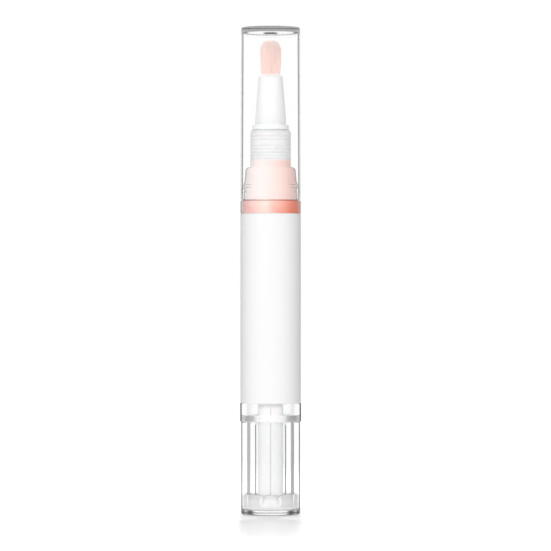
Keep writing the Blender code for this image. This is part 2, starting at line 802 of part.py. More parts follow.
def build_knob(coll, cutters, mats):
    """Knob, ratchet ring, stem and lead screw, carried by an empty on their turning axis."""
    axis = make_empty("knob_axis", coll, 0.0, None)
    turned("knob_shell", knob_profile(), SEG_OUTER, coll, mats["clear"], axis, closed=False)
    build_ratchet_ring(coll, cutters, mats["frosted"], axis)
    build_drive_tube(coll, cutters, mats["white"], axis)
    screw_axis = make_empty("screw_axis", coll, SCREW_Z0, axis)
    build_screw(coll, cutters, mats["white"], screw_axis)


def build_cap(coll, mats):
    """Cap on an empty on its sliding axis."""
    axis = make_empty("cap_axis", coll, CAP_Z0, None)
    turned("cap", cap_profile(), SEG_OUTER, coll, mats["clear"], axis, closed=False)


def main():
    """Builds the whole pen."""
    clear_scene()
    coll = make_collection("nail_art_pen")
    cutters = make_collection("cutters")
    mats = build_materials()
    build_head(coll, cutters, mats)
    build_barrel(coll, cutters, mats)
    build_piston(coll, mats)
    build_knob(coll, cutters, mats)
    build_cap(coll, mats)
    bpy.context.view_layer.update()


main()
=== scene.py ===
"""Looks of an upright twist pen for nail colour.

The pen stands on its clear knob. Above the knob come the clear barrel with a plain white label, the
pink liquid in its neck, a frosted seat, a white cone with a pink brush, and a clear cap over them.
Sizes are in millimetres and are turned into metres where a mesh is made.
"""

from __future__ import annotations

import cmath
import functools
import logging
import math
from dataclasses import dataclass
from enum import Enum
from typing import Sequence

import bmesh
import bpy
from mathutils import Matrix, Vector

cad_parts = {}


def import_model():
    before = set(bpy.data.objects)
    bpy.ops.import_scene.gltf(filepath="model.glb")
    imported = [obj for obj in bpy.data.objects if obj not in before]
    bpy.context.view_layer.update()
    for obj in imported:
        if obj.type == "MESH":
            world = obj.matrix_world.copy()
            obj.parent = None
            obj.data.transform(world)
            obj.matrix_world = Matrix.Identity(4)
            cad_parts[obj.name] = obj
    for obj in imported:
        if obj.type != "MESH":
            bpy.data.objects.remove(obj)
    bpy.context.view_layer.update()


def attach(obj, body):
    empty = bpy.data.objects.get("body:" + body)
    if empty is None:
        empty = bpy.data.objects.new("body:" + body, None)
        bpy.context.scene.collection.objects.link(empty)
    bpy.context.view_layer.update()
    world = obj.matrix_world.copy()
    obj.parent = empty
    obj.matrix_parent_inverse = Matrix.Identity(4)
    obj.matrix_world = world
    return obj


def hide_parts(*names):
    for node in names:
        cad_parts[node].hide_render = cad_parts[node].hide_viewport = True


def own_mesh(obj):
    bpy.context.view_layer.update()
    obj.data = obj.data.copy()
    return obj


LOG = logging.getLogger("nail_pen")
MM = 0.001
FINE_SEGMENTS = 160
COARSE_SEGMENTS = 96
Triple = tuple[float, float, float]
Tone = float | Triple
Stops = Sequence[tuple[float, Tone]]
Corners = Sequence[tuple[float, ...]]
Section = Sequence[tuple[float, float]]
Feeds = dict[str | int, object]
Socket = bpy.types.NodeSocket


class Body(Enum):
    """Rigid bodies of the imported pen."""

    BARREL = "barrel"
    CAP = "cap"
    KNOB = "knob"
    SCREW = "screw"
    PISTON = "piston"


class Slot(Enum):
    """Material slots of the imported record."""

    CLEAR = "clear_plastic"
    FROSTED = "frosted_plastic"
    WHITE = "white_plastic"
    LABEL = "label_film"
    LIQUID = "pink_fluid"
    FIBRE = "brush_fibre"
    RUBBER = "seal_rubber"


# Outlines and meshes


class Outline:
    """A turned piece's outline, run down its outer side from top to bottom.

    A corner is a radius, a height and, where it is rounded, the radius of the rounding. An outline
    that starts on the axis is open, and any other is a closed ring.
    """

    SUPPORT = 0.07
    SUPPORT_SHARE = 0.02
    ROOM_SHARE = 0.94
    STRAIGHT = 1.55
    TINY = 1e-4

    def __init__(self, corners: Corners, steps: int) -> None:
        """Keeps the corners.

        Args:
            corners: The corners in order.
            steps: Number of facets in each rounded corner.
        """
        self.places = [complex(r, z) for r, z, *_ in corners]
        self.fillets = [corner[2] if len(corner) > 2 else 0.0 for corner in corners]
        self.closed = corners[0][0] > 0.0
        self.steps = steps

    def points(self) -> list[complex]:
        """Rounds the corners.

        Returns:
            The outline's points, radius and height as one number, with a support point beside each rounding.
        """
        found: list[complex] = []
        for i, reach in enumerate(self._reaches()):
            found += self._arc(i, reach) if reach >= self.TINY else [self.places[i]]
        kept = found[:1]
        for point in found[1:]:
            if abs(point - kept[-1]) > self.TINY:
                kept.append(complex(max(point.real, 0.0), point.imag))
        return kept

    def _sides(self, i: int) -> tuple[complex, complex]:
        """Gives the ways from a corner to the one before it and to the one after it."""
        here = self.places[i]
        return self.places[i - 1] - here, self.places[(i + 1) % len(self.places)] - here

    def _reaches(self) -> list[float]:
        """Finds how far each rounding runs along its sides.

        Returns:
            One length for each corner, cut down where two roundings would meet.
        """
        wanted = []
        for i, fillet in enumerate(self.fillets):
            before, after = self._sides(i)
            half = abs(cmath.phase(after / before)) / 2
            wanted.append(fillet / math.tan(half) if fillet > 0.0 and half <= self.STRAIGHT else 0.0)
        allowed = list(wanted)
        for i in range(len(wanted)):
            j = (i + 1) % len(wanted)
            both = wanted[i] + wanted[j]
            room = self.ROOM_SHARE * abs(self._sides(i)[1])
            if both > room:
                allowed[i] = min(allowed[i], wanted[i] * room / both)
                allowed[j] = min(allowed[j], wanted[j] * room / both)
        return allowed

    def _arc(self, i: int, reach: float) -> list[complex]:
        """Rounds one corner.

        Args:
            i: The corner's number.
            reach: How far the rounding runs along both sides.

        Returns:
            Points of the arc with its two support points.
        """
        here = self.places[i]
        ways = self._sides(i)
        u, v = (way / abs(way) for way in ways)
        half = math.acos(max(-1.0, min(1.0, (u * v.conjugate()).real))) / 2
        radius = reach * math.tan(half)
        centre = here + (u + v) / abs(u + v) * (radius / math.sin(half))
        start, stop = (cmath.phase(here + way * reach - centre) for way in (u, v))
        sweep = (stop - start + math.pi) % math.tau - math.pi
        arc = [centre + cmath.rect(radius, start + sweep * k / self.steps) for k in range(self.steps + 1)]
        supports = [reach + min(self.SUPPORT, self.SUPPORT_SHARE * abs(way)) for way in ways]
        return [here + u * supports[0], *arc, here + v * supports[1]]


def turned(name: str, corners: Corners, segments: int = 128, steps: int = 6) -> bpy.types.Mesh:
    """Turns an outline about the pen's axis.

    Args:
        name: The mesh's name.
        corners: The outline's corners, in millimetres.
        segments: Facets round the axis.
        steps: Facets in each rounded corner.

    Returns:
        A closed mesh in metres with its faces pointing outwards and its hard edges marked sharp.
    """
    outline = Outline(corners, steps)
    bm = bmesh.new()
    turns = [cmath.rect(1.0, math.tau * j / segments) for j in range(segments)]
    rings = []
    for point in outline.points():
        r, z = point.real * MM, point.imag * MM
        spokes = turns if r > 0.0 else turns[:1]
        rings.append([bm.verts.new((r * spoke.real, r * spoke.imag, z)) for spoke in spokes])
    for high, low in zip(rings, rings[1:] + rings[:1] * outline.closed):
        for j in range(segments):
            k = j + 1
            ring = (high[j % len(high)], low[j % len(low)], low[k % len(low)], high[k % len(high)])
            face = list(dict.fromkeys(ring))
            if len(face) > 2:
                bm.faces.new(face)
    return mesh_of(name, bm)


def mesh_of(name: str, bm: bmesh.types.BMesh, sharp_deg: float = 40.0) -> bpy.types.Mesh:
    """Writes a bmesh to a mesh with smooth faces and sharp hard edges.

    Args:
        name: The mesh's name.
        bm: The bmesh, which is freed.
        sharp_deg: Edges that turn more than this stay sharp.

    Returns:
        The mesh.
    """
    for face in bm.faces:
        face.smooth = True
    for edge in bm.edges:
        if len(edge.link_faces) == 2 and edge.calc_face_angle(0.0) > math.radians(sharp_deg):
            edge.smooth = False
    mesh = bpy.data.meshes.new(name)
    bm.to_mesh(mesh)
    bm.free()
    return mesh


def strip_of(sections: Sequence[tuple[float, Section]]) -> bmesh.types.BMesh:
    """Joins flat sections that stand round the pen's axis into one closed strip.

    Args:
        sections: Each section's angle and its points, as radius and height.

    Returns:
        The strip, with its faces outwards.
    """
    bm = bmesh.new()
    columns = [
        [bm.verts.new((r * math.cos(angle) * MM, r * math.sin(angle) * MM, z * MM)) for r, z in section]
        for angle, section in sections
    ]
    for left, right in zip(columns, columns[1:]):
        for i in range(len(left)):
            j = (i + 1) % len(left)
            bm.faces.new((left[i], left[j], right[j], right[i]))
    bm.faces.new(list(reversed(columns[0])))
    bm.faces.new(columns[-1])
    bmesh.ops.recalc_face_normals(bm, faces=bm.faces)
    return bm


@dataclass(frozen=True)
class Tab:
    """A block that follows the pen's round wall, with its upper corners rounded off."""

    inner: float
    outer: float
    low: float
    top: float
    half_deg: float
    curl: float
    soft: float = 0.12
    curl_power: int = 6
    steps: int = 20

    def block(self) -> bmesh.types.BMesh:
        """Draws the block round the X axis.

        Returns:
            The block, closed.
        """
        sections = []
        for i in range(self.steps + 1):
            share = 2.0 * i / self.steps - 1.0
            height = self.top - self.curl * abs(share) ** self.curl_power
            edge = height - self.soft
            foot = ((self.inner, self.low), (self.outer, self.low), (self.outer, edge))
            rim = ((self.outer - self.soft, height), (self.inner + self.soft, height), (self.inner, edge))
            sections.append((math.radians(self.half_deg) * share, (*foot, *rim)))
        return strip_of(sections)


# Node trees and finishes


class Nodes:
    """Short ways to add and join the nodes of one tree."""

    def __init__(self, tree: bpy.types.NodeTree) -> None:
        """Keeps the tree."""
        self.tree = tree

    def feed(self, target: Socket, value: object) -> None:
        """Links a socket, or sets it to a plain value.

        Args:
            target: The socket that is fed.
            value: A socket, a number, a vector, a name, or the tone of a colour socket.
        """
        if isinstance(value, Socket):
            self.tree.links.new(value, target)
        elif target.type == "RGBA":
            target.default_value = rgba(value)
        else:
            target.default_value = value

    def node(self, kind: str, feeds: Feeds | None = None, **settings: object) -> bpy.types.Node:
        """Adds a node.

        Args:
            kind: The node's type.
            feeds: What its inputs are fed, by their names or places.
            **settings: Attributes to set on it.

        Returns:
            The node.
        """
        made = self.tree.nodes.new(kind)
        for key, value in settings.items():
            setattr(made, key, value)
        for key, value in (feeds or {}).items():
            self.feed(made.inputs[key], value)
        return made

    def maths(self, operation: str, *values: object, clamp: bool = False) -> Socket:
        """Works out a number from sockets or numbers, and may keep it between 0 and 1."""
        made = self.node("ShaderNodeMath", dict(enumerate(values)), operation=operation, use_clamp=clamp)
        return made.outputs[0]

    def spread(
        self, source: Socket, low: float, high: float, start: float = 0.0, stop: float = 1.0
    ) -> Socket:
        """Maps a value that runs from start to stop to one that runs from low to high."""
        feeds = {"Value": source, "From Min": start, "From Max": stop, "To Min": low, "To Max": high}
        return self.node("ShaderNodeMapRange", feeds).outputs["Result"]

    def seen_rays(self) -> Socket:
        """Tells the rays that bring a picture of the surroundings.

        Returns:
            1 for rays from the camera, in gloss or through clear plastic, otherwise 0.
        """
        path = self.node("ShaderNodeLightPath").outputs
        mirrored = self.maths("MAXIMUM", path["Is Camera Ray"], path["Is Glossy Ray"])
        return self.maths("MAXIMUM", mirrored, path["Is Transmission Ray"])


def rgba(tone: Tone) -> tuple[float, ...]:
    """Writes a grey or a colour as four numbers."""
    return (tone, tone, tone, 1.0) if isinstance(tone, float) else (*tone, 1.0)


@dataclass(frozen=True)
class Grain:
    """A noise on the object's own coordinates: its features to the metre, octaves and stretch."""

    scale: float
    detail: float
    stretch: Triple = (1.0, 1.0, 1.0)


class Shader(Nodes):
    """A material's node tree with one Principled shader."""

    def __init__(self, name: str) -> None:
        """Makes the material.

        Args:
            name: The material's name.
        """
        self.material = bpy.data.materials.new(name)
        self.material.use_nodes = True
        super().__init__(self.material.node_tree)
        self.surface = self.tree.nodes["Principled BSDF"]
        self.output = self.tree.nodes["Material Output"]
        self.place = self.node("ShaderNodeTexCoord").outputs["Object"]

    def set(self, **values: object) -> None:
        """Feeds the Principled shader's sockets, with underscores for the spaces in their names."""
        for key, value in values.items():
            self.feed(self.surface.inputs[key.replace("_", " ")], value)

    def noise(self, grain: Grain) -> Socket:
        """Adds a grain's noise and gives its value.

        Args:
            grain: The grain.

        Returns:
            The noise's value.
        """
        mapped = self.node("ShaderNodeMapping", {"Scale": grain.stretch, "Vector": self.place})
        feeds = {"Scale": grain.scale, "Detail": grain.detail, "Vector": mapped.outputs["Vector"]}
        return self.node("ShaderNodeTexNoise", feeds).outputs["Fac"]

    def ramp(self, source: Socket, stops: Stops) -> Socket:
        """Colours a value.

        Args:
            source: The value.
            stops: Places and tones.

        Returns:
            The colour.
        """
        made = self.node("ShaderNodeValToRGB", {"Fac": source})
        elements = made.color_ramp.elements
        while len(elements) < len(stops):
            elements.new(0.5)
        for element, (place, tone) in zip(elements, stops):
            element.position = place
            element.color = rgba(tone)
        return made.outputs["Color"]

    def mix(self, share: Socket | float, a: Socket | Tone, b: Socket | Tone, blend: str = "MIX") -> Socket:
        """Mixes two colours, with share as much of the second."""
        made = self.node("ShaderNodeMix", {0: share, 6: a, 7: b}, data_type="RGBA", blend_type=blend)
        return made.outputs[2]

    def axis(self, name: str) -> Socket:
        """Gives one object coordinate, X, Y or Z, in metres."""
        return self.node("ShaderNodeSeparateXYZ", {"Vector": self.place}).outputs[name]

    def along(self, name: str, low: float, high: float, start: float, stop: float) -> Socket:
        """Maps one object coordinate, in millimetres, to another range."""
        return self.spread(self.axis(name), low, high, start * MM, stop * MM)

    def facing(self) -> Socket:
        """Tells how far a face turns away from the eye, from 0 to 1 at its edge."""
        return self.node("ShaderNodeLayerWeight", {"Blend": 0.5}).outputs["Facing"]

    def bump(self, height: Socket, strength: float, depth: float) -> None:
        """Roughens the surface by a relief whose depth is in millimetres."""
        feeds = {"Strength": strength, "Distance": depth * MM, "Height": height}
        self.set(Normal=self.node("ShaderNodeBump", feeds).outputs["Normal"])

    def blend(self, share: Socket | float, a: Socket, b: Socket) -> Socket:
        """Mixes two shaders."""
        return self.node("ShaderNodeMixShader", {"Fac": share, 1: a, 2: b}).outputs[0]

    def let_light_through(self, passing: float) -> None:
        """Makes the plastic open for shadow and soft light rays.

        Args:
            passing: Share of the light that passes each face.
        """
        path = self.node("ShaderNodeLightPath").outputs
        either = self.maths("MAXIMUM", path["Is Shadow Ray"], path["Is Diffuse Ray"])
        open_air = self.node("ShaderNodeBsdfTransparent", {"Color": passing}).outputs[0]
        self.feed(self.output.inputs["Surface"], self.blend(either, self.surface.outputs[0], open_air))


@dataclass(frozen=True)
class Finish:
    """A surface finish with its material slot."""

    name: str
    slot: Slot

    def dress(self, shader: Shader) -> None:
        """Builds the nodes of the finish."""
        raise NotImplementedError


@dataclass(frozen=True)
class ClearPlastic(Finish):
    """Polished clear plastic with painted shade where the eye runs along its walls.

    Both lists run from a face seen straight on, 0, to its edge, 1: the first paints shade onto what is
    seen through the wall, standing in for dark surroundings bent into view at its edges, and rim turns
    the wall opaque so that this painted grey shows on the wall itself.
    """

    slot: Slot = Slot.CLEAR
    painted_lines: Stops = ()
    rim: Stops = ()
    passing: float = 0.99
    tint: Triple = (0.996, 0.998, 0.998)
    index: float = 1.49
    gloss: float = 0.012
    handling: Grain = Grain(420.0, 4.0, (1.0, 1.0, 0.35))
    ripple: Grain = Grain(90.0, 1.0)

    def dress(self, shader: Shader) -> None:
        """Builds the clear shader, and lets lamps and soft light pass through it.

        Args:
            shader: The material being made.
        """
        facing = shader.facing()
        inside = shader.node("ShaderNodeNewGeometry").outputs["Backfacing"]
        # Painted shade: the colour darkens by how far the face turns from the eye, and rim lets the painted
        # grey show as an outline.
        shade = shader.mix(1.0, shader.ramp(facing, self.painted_lines), self.tint, "MULTIPLY")
        clear = shader.maths("MAXIMUM", shader.spread(shader.ramp(facing, self.rim), 1.0, 0.0), inside)
        handled = shader.noise(self.handling)
        shader.set(Transmission_Weight=1.0, IOR=self.index)
        shader.set(
            Base_Color=shader.mix(inside, shade, self.tint),
            Transmission_Weight=clear,
            Specular_IOR_Level=shader.spread(clear, 0.0, 0.5),
            Roughness=shader.spread(handled, 0.0, self.gloss, start=0.35, stop=0.7),
        )
        shader.bump(shader.noise(self.ripple), strength=0.01, depth=0.01)
        shader.let_light_through(self.passing)


@dataclass(frozen=True)
class GroundPlastic(Finish):
    """Clear plastic whose face is left matt from the mould, with painted shade where it turns away from the
    eye.
    """

    slot: Slot = Slot.CLEAR
    tones: Stops = ((0.296, 0.97), (0.31, 0.88), (0.42, 0.88))
    dull: Tone = 0.8
    passing: float = 0.9
    roughness: tuple[float, float] = (0.2, 0.35)
    clouds: Grain = Grain(900.0, 2.0)
    pits: Grain = Grain(2600.0, 2.0)

    def dress(self, shader: Shader) -> None:
        """Builds the matt clear shader.

        Args:
            shader: The material being made.
        """
        matt = shader.noise(self.clouds)
        # Painted shade: the grey deepens where the mouth's face turns away from the eye.
        tone = shader.ramp(shader.facing(), self.tones)
        shader.set(
            Base_Color=shader.mix(shader.spread(matt, 0.0, 0.04), tone, self.dull),
            Roughness=shader.spread(matt, *self.roughness),
            Transmission_Weight=0.15,
            IOR=1.49,
            Specular_IOR_Level=0.1,
        )
        shader.bump(shader.noise(self.pits), strength=0.05, depth=0.01)
        shader.let_light_through(self.passing)


@dataclass(frozen=True)
class FrostedPlastic(Finish):
    """Natural cloudy plastic.

    Below its level, where it has one, it shows the liquid behind it, with painted light and shade across
    it: lighter on the left flank, deeper pink on the right. Above its crown it turns darker, a painted
    shade that is deepest where the face turns away from the eye.
    """

    slot: Slot = Slot.FROSTED
    body: Tone = 0.76
    cloud: Tone = 0.82
    level: float | None = None
    liquid: Triple = (0.98, 0.82, 0.79)
    liquid_shaded_side: Triple = (0.93, 0.57, 0.49)
    liquid_lit_flank: Triple = (1.0, 0.93, 0.93)
    span: float = 8.0
    crown: float | None = None
    crown_shade_tones: tuple[Tone, Tone] = (0.25, 0.3)
    wobble: float = 0.25
    roughness: tuple[float, float] = (0.26, 0.4)
    clouds: Grain = Grain(520.0, 4.0)
    waves: Grain = Grain(300.0, 1.0)
    frost: Grain = Grain(7000.0, 2.0)

    def behind(self, shader: Shader, colour: Socket) -> Socket:
        """Shows the liquid behind the plastic, up to its wavy level.

        Args:
            shader: The material being made.
            colour: The plastic's own colour.

        Returns:
            The colour with the liquid.
        """
        wave = shader.spread(shader.noise(self.waves), -self.wobble * MM, self.wobble * MM)
        surface = shader.maths("ADD", shader.axis("Z"), wave)
        below = shader.spread(surface, 1.0, 0.0, (self.level - 0.35) * MM, (self.level + 0.45) * MM)
        # Painted light and shade across the liquid: deeper pink toward the right side, lighter on the left
        # flank.
        side_shade = shader.along("X", 0.0, 1.0, -0.35 * self.span, self.span)
        flank = shader.along("X", 0.5, 0.0, -0.75 * self.span, -0.45 * self.span)
        pink = shader.mix(flank, shader.mix(side_shade, self.liquid, self.liquid_shaded_side), self.liquid_lit_flank)
        return shader.mix(below, colour, pink)

    def dress(self, shader: Shader) -> None:
        """Builds the cloudy shader.

        Args:
            shader: The material being made.
        """
        cloudy = shader.noise(self.clouds)
        colour = shader.ramp(cloudy, ((0.3, self.body), (0.7, self.cloud)))
        if self.level is not None:
            colour = self.behind(shader, colour)
        if self.crown is not None:
            # Painted shade: darker above the crown, and darker still where the face turns away from the eye.
            upper = shader.along("Z", 0.0, 0.16, self.crown - 0.3, self.crown + 0.4)
            turned_away = shader.spread(shader.facing(), 0.0, 0.26, 0.048, 0.07)
            top, side = self.crown_shade_tones
            colour = shader.mix(upper, shader.mix(turned_away, colour, side), top)
        shader.set(
            Base_Color=colour,
            Roughness=shader.spread(cloudy, *self.roughness),
            Subsurface_Weight=0.3,
            Subsurface_Scale=0.0005,
            Subsurface_Radius=(1.0, 0.9, 0.85),
            IOR=1.5,
            Specular_IOR_Level=0.3,
        )
        shader.bump(shader.noise(self.frost), strength=0.12, depth=0.03)


@dataclass(frozen=True)
class WhitePlastic(Finish):
    """Satin white moulded plastic, with a dark seam down its middle where seam_half is given. It can also
    carry painted light toward its edges, and painted light above a given height to offset shade there.
    """

    slot: Slot = Slot.WHITE
    body: Tone = 0.87
    shade: Tone = (0.85, 0.85, 0.855)
    gloss: float = 0.34
    seam_half: float = 0.0
    seam: Tone = 0.6
    painted_edge_light: float = 0.0
    painted_light_above: float | None = None
    painted_light_run: float = 1.6
    flow: Grain = Grain(260.0, 4.0, (1.0, 1.0, 0.3))
    handling: Grain = Grain(900.0, 3.0)
    skin: Grain = Grain(5200.0, 2.0)

    def dress(self, shader: Shader) -> None:
        """Builds the white shader.

        Args:
            shader: The material being made.
        """
        colour = shader.ramp(shader.noise(self.flow), ((0.3, self.shade), (0.62, self.body)))
        if self.seam_half > 0.0:
            away = shader.maths("ABSOLUTE", shader.axis("X"))
            near = shader.spread(away, 1.0, 0.0, 0.5 * self.seam_half * MM, 1.5 * self.seam_half * MM)
            colour = shader.mix(near, colour, self.seam)
        # Painted light: the colour turns whiter toward the edges, where the face turns from the eye.
        if self.painted_edge_light > 0.0:
            edge = shader.spread(shader.facing(), 0.0, self.painted_edge_light, start=0.4, stop=0.8)
            colour = shader.mix(edge, colour, 1.0)
        # Painted light: the colour turns paler above a given height, offsetting shade cast from above.
        if self.painted_light_above is not None:
            pale = shader.along("Z", 0.0, 1.0, self.painted_light_above, self.painted_light_above + self.painted_light_run)
            colour = shader.mix(pale, colour, 1.0)
        handled = shader.noise(self.handling)
        shader.set(
            Base_Color=colour,
            Roughness=shader.spread(handled, self.gloss - 0.06, self.gloss + 0.1, start=0.3, stop=0.7),
            Subsurface_Weight=0.15,
            Subsurface_Scale=0.0006,
            IOR=1.48,
            Specular_IOR_Level=0.25,
        )
        shader.bump(shader.noise(self.skin), strength=0.1, depth=0.03)


@dataclass(frozen=True)
class LabelFilm(Finish):
    """Plain white film with a soft fibre and faintly greyed ends."""

    slot: Slot = Slot.LABEL
    body: Tone = 0.8
    thread: Tone = (0.76, 0.76, 0.765)
    end: Tone = 0.75
    low: float = 31.6
    high: float = 85.7
    end_run: tuple[float, float] = (0.05, 0.5)
    roughness: tuple[float, float] = (0.42, 0.55)
    threads: Grain = Grain(3000.0, 5.0, (1.0, 1.0, 0.4))

    def dress(self, shader: Shader) -> None:
        """Builds the film's shader.

        Args:
            shader: The material being made.
        """
        edge, inside = self.end_run
        foot = shader.along("Z", 1.0, 0.0, self.low + edge, self.low + inside)
        head = shader.along("Z", 0.0, 1.0, self.high - inside, self.high - edge)
        fibre = shader.noise(self.threads)
        paper = shader.mix(shader.spread(fibre, 0.0, 0.12, start=0.4, stop=0.7), self.body, self.thread)
        shader.set(
            Base_Color=shader.mix(shader.maths("MAXIMUM", foot, head), paper, self.end),
            Roughness=shader.spread(fibre, *self.roughness),
            IOR=1.45,
            Specular_IOR_Level=0.15,
            Sheen_Weight=0.03,
        )
        shader.bump(fibre, strength=0.08, depth=0.04)


@dataclass(frozen=True)
class PinkLiquid(Finish):
    """Thick pink liquid with painted light and shade across it: pale on the left, deeper pink on the right.
    """

    slot: Slot = Slot.LIQUID
    # Painted light and shade: the colour runs from pale pink on the left to deep salmon on the right,
    # standing in for light passing through the liquid from one side.
    across: Stops = (
        (0.0, (1.0, 0.6, 0.55)),
        (0.16, (1.0, 0.64, 0.58)),
        (0.4, (0.97, 0.73, 0.65)),
        (0.52, (0.96, 0.6, 0.53)),
        (0.7, (0.97, 0.41, 0.33)),
        (0.92, (0.92, 0.25, 0.15)),
    )
    span: float = 6.3
    side_shade: float = 0.06
    swirls: Grain = Grain(240.0, 3.0, (1.0, 1.0, 0.5))
    ripple: Grain = Grain(700.0, 2.0)

    def dress(self, shader: Shader) -> None:
        """Builds the liquid's shader.

        Args:
            shader: The material being made.
        """
        swirl = shader.spread(shader.noise(self.swirls), -self.side_shade, self.side_shade, start=0.3, stop=0.7)
        share = shader.maths("ADD", shader.along("X", 0.0, 1.0, -self.span, self.span), swirl, clamp=True)
        shader.set(
            Base_Color=shader.ramp(share, self.across),
            Roughness=0.18,
            IOR=1.4,
            Subsurface_Weight=0.3,
            Subsurface_Scale=0.001,
            Subsurface_Radius=(1.0, 0.45, 0.38),
        )
        shader.bump(shader.noise(self.ripple), strength=0.05, depth=0.1)


@dataclass(frozen=True)
class BrushFibre(Finish):
    """Fine pink fibre, each strand a little different, paler at the tip by painted light, and pale where it
    leaves the cone.

    Each wash is its share at the start and the stop of a run of heights, the two heights, and its colour.
    """

    slot: Slot = Slot.FIBRE
    strands: Stops = ((0.0, (1.0, 0.77, 0.71)), (0.45, (1.0, 0.81, 0.755)), (1.0, (1.0, 0.85, 0.8)))
    washes: tuple[tuple[float, float, float, float, Triple], ...] = (
        # Painted light: the first wash lifts the tip out of the tuft's own shade.
        (0.0, 0.6, 130.5, 134.5, (1.0, 0.9, 0.87)),
        (0.4, 0.0, 126.2, 131.5, (0.97, 0.69, 0.63)),
        (0.85, 0.0, 125.6, 125.9, (1.0, 0.975, 0.965)),
    )

    def dress(self, shader: Shader) -> None:
        """Builds the fibre's shader.

        Args:
            shader: The material being made.
        """
        strand = shader.node("ShaderNodeAttribute", attribute_name="strand")
        colour = shader.ramp(strand.outputs["Fac"], self.strands)
        for low, high, start, stop, tone in self.washes:
            colour = shader.mix(shader.along("Z", low, high, start, stop), colour, tone)
        shader.set(Base_Color=colour, Roughness=0.5, Sheen_Weight=0.1, Sheen_Roughness=0.4, IOR=1.5)


@dataclass(frozen=True)
class SealRubber(Finish):
    """Dark seal ring, slightly dusty."""

    slot: Slot = Slot.RUBBER
    body: Tone = (0.04, 0.04, 0.042)
    dust: Tone = 0.1
    roughness: tuple[float, float] = (0.45, 0.7)
    specks: Grain = Grain(1800.0, 4.0)

    def dress(self, shader: Shader) -> None:
        """Builds the rubber's shader.

        Args:
            shader: The material being made.
        """
        dusty = shader.noise(self.specks)
        colour = shader.ramp(dusty, ((0.35, self.body), (0.75, self.dust)))
        shader.set(Base_Color=colour, Roughness=shader.spread(dusty, *self.roughness))
        shader.bump(dusty, strength=0.15, depth=0.05)


@functools.cache
def paint(finish: Finish) -> bpy.types.Material:
    """Gives a finish's material, made at the first call.

    Args:
        finish: The finish.

    Returns:
        Its material.
    """
    shader = Shader(finish.name)
    finish.dress(shader)
    return shader.material


# The stop lists and clear finishes below paint shade by how far a face turns from the eye: dark edge lines,
# grey bands and the dark gate mark stand in for dark surroundings seen through the walls.
BAND_RIM = ((0.75, 0.0), (1.0, 0.5))
BARREL_RIM = ((0.7, 0.0), (0.73, 1.0))
KNOB_EDGE = ((0.81, 0.04), (0.85, 0.6), (1.0, 0.4))
KNOB_RIM = ((0.705, 0.0), (0.725, 1.0), (0.81, 1.0), (0.85, 0.3), (1.0, 0.4))
LENS_SIDE = ((0.12, 1.0), (0.165, 0.6), (0.2, 0.25), (0.235, 0.06), (0.34, 0.04), (0.42, 0.26))
FOOT_SIDE = ((0.09, 1.0), (0.13, 0.75), (0.17, 0.4), (0.22, 0.3), (0.38, 0.3), (0.45, 0.45), (0.52, 0.75))
SKIRT_SIDE = ((0.09, 1.0), (0.12, 0.95), (0.2, 0.88), (0.27, 0.8), (0.36, 0.88), (0.55, 0.94), (0.69, 0.9))

CAP_OUTER = ClearPlastic(
    "clear_cap_outer",
    painted_lines=((0.585, 1.0), (0.625, 0.04), (0.71, 0.04), (0.75, 0.6), (1.0, 0.15)),
    rim=((0.8, 0.0), (0.92, 0.7)),
)
CAP_BAND = ClearPlastic("clear_cap_band", painted_lines=((0.0, 0.14), (0.6, 0.15), (0.9, 0.12)), rim=BAND_RIM)
CAP_SHOULDER = ClearPlastic(
    "clear_cap_shoulder", painted_lines=((0.32, 1.0), (0.42, 0.16), (1.0, 0.16)), rim=BAND_RIM
)
CAP_CORNER = ClearPlastic("clear_cap_corner", painted_lines=((0.0, 0.5), (1.0, 0.35)), rim=((0.0, 0.2), (1.0, 0.5)))
GATE = ClearPlastic("clear_gate", painted_lines=((0.0, 0.05), (1.0, 0.03)), rim=((0.0, 0.5), (1.0, 0.8)))
NECK_OUTER = ClearPlastic("clear_neck", painted_lines=((0.65, 1.0), (0.71, 0.22)), rim=((0.65, 0.0), (0.74, 0.8)))
BEAD_EDGE = ClearPlastic("clear_bead_edge", painted_lines=((0.22, 1.0), (0.42, 0.15)), rim=((0.3, 0.0), (0.8, 0.6)))
BAND_EDGE = ClearPlastic("clear_band_edge", painted_lines=((0.0, 0.3), (1.0, 0.2)), rim=((0.5, 0.0), (1.0, 0.7)))
COLLAR_OUTER = ClearPlastic("clear_collar", painted_lines=((0.69, 1.0), (0.73, 0.3)), rim=((0.69, 0.0), (0.73, 0.9)))
BARREL_OUTER = ClearPlastic("clear_barrel_outer", painted_lines=((0.7, 1.0), (0.73, 0.05)), rim=BARREL_RIM)
BARREL_FOOT = ClearPlastic(
    "clear_barrel_foot", painted_lines=(*FOOT_SIDE, (0.6, 1.0), (0.69, 1.0), (0.73, 0.05)), rim=BARREL_RIM
)
BARREL_SKIRT = ClearPlastic("clear_barrel_skirt", painted_lines=(*SKIRT_SIDE, (0.73, 0.05)), rim=BARREL_RIM)
KNOB_OUTER = ClearPlastic(
    "clear_knob_outer", painted_lines=((0.705, 1.0), (0.725, 0.04), *KNOB_EDGE), rim=KNOB_RIM, passing=0.95
)
KNOB_BELT = ClearPlastic(
    "clear_knob_belt",
    painted_lines=((0.55, 1.0), (0.6, 0.7), (0.7, 0.7), (0.72, 0.04), *KNOB_EDGE),
    rim=KNOB_RIM,
    passing=0.95,
)
CLEAR_INNER = ClearPlastic("clear_inner", painted_lines=((0.0, 1.0), (1.0, 1.0)), rim=((0.0, 0.0), (1.0, 0.0)))
BOSS_OUTER = ClearPlastic("clear_boss", painted_lines=((0.58, 1.0), (0.64, 0.25)), rim=((0.58, 0.0), (0.64, 1.0)))
CLEAR_TUBE = ClearPlastic("clear_tube", painted_lines=((0.48, 1.0), (0.51, 0.5)), rim=((0.48, 0.0), (0.51, 1.0)))
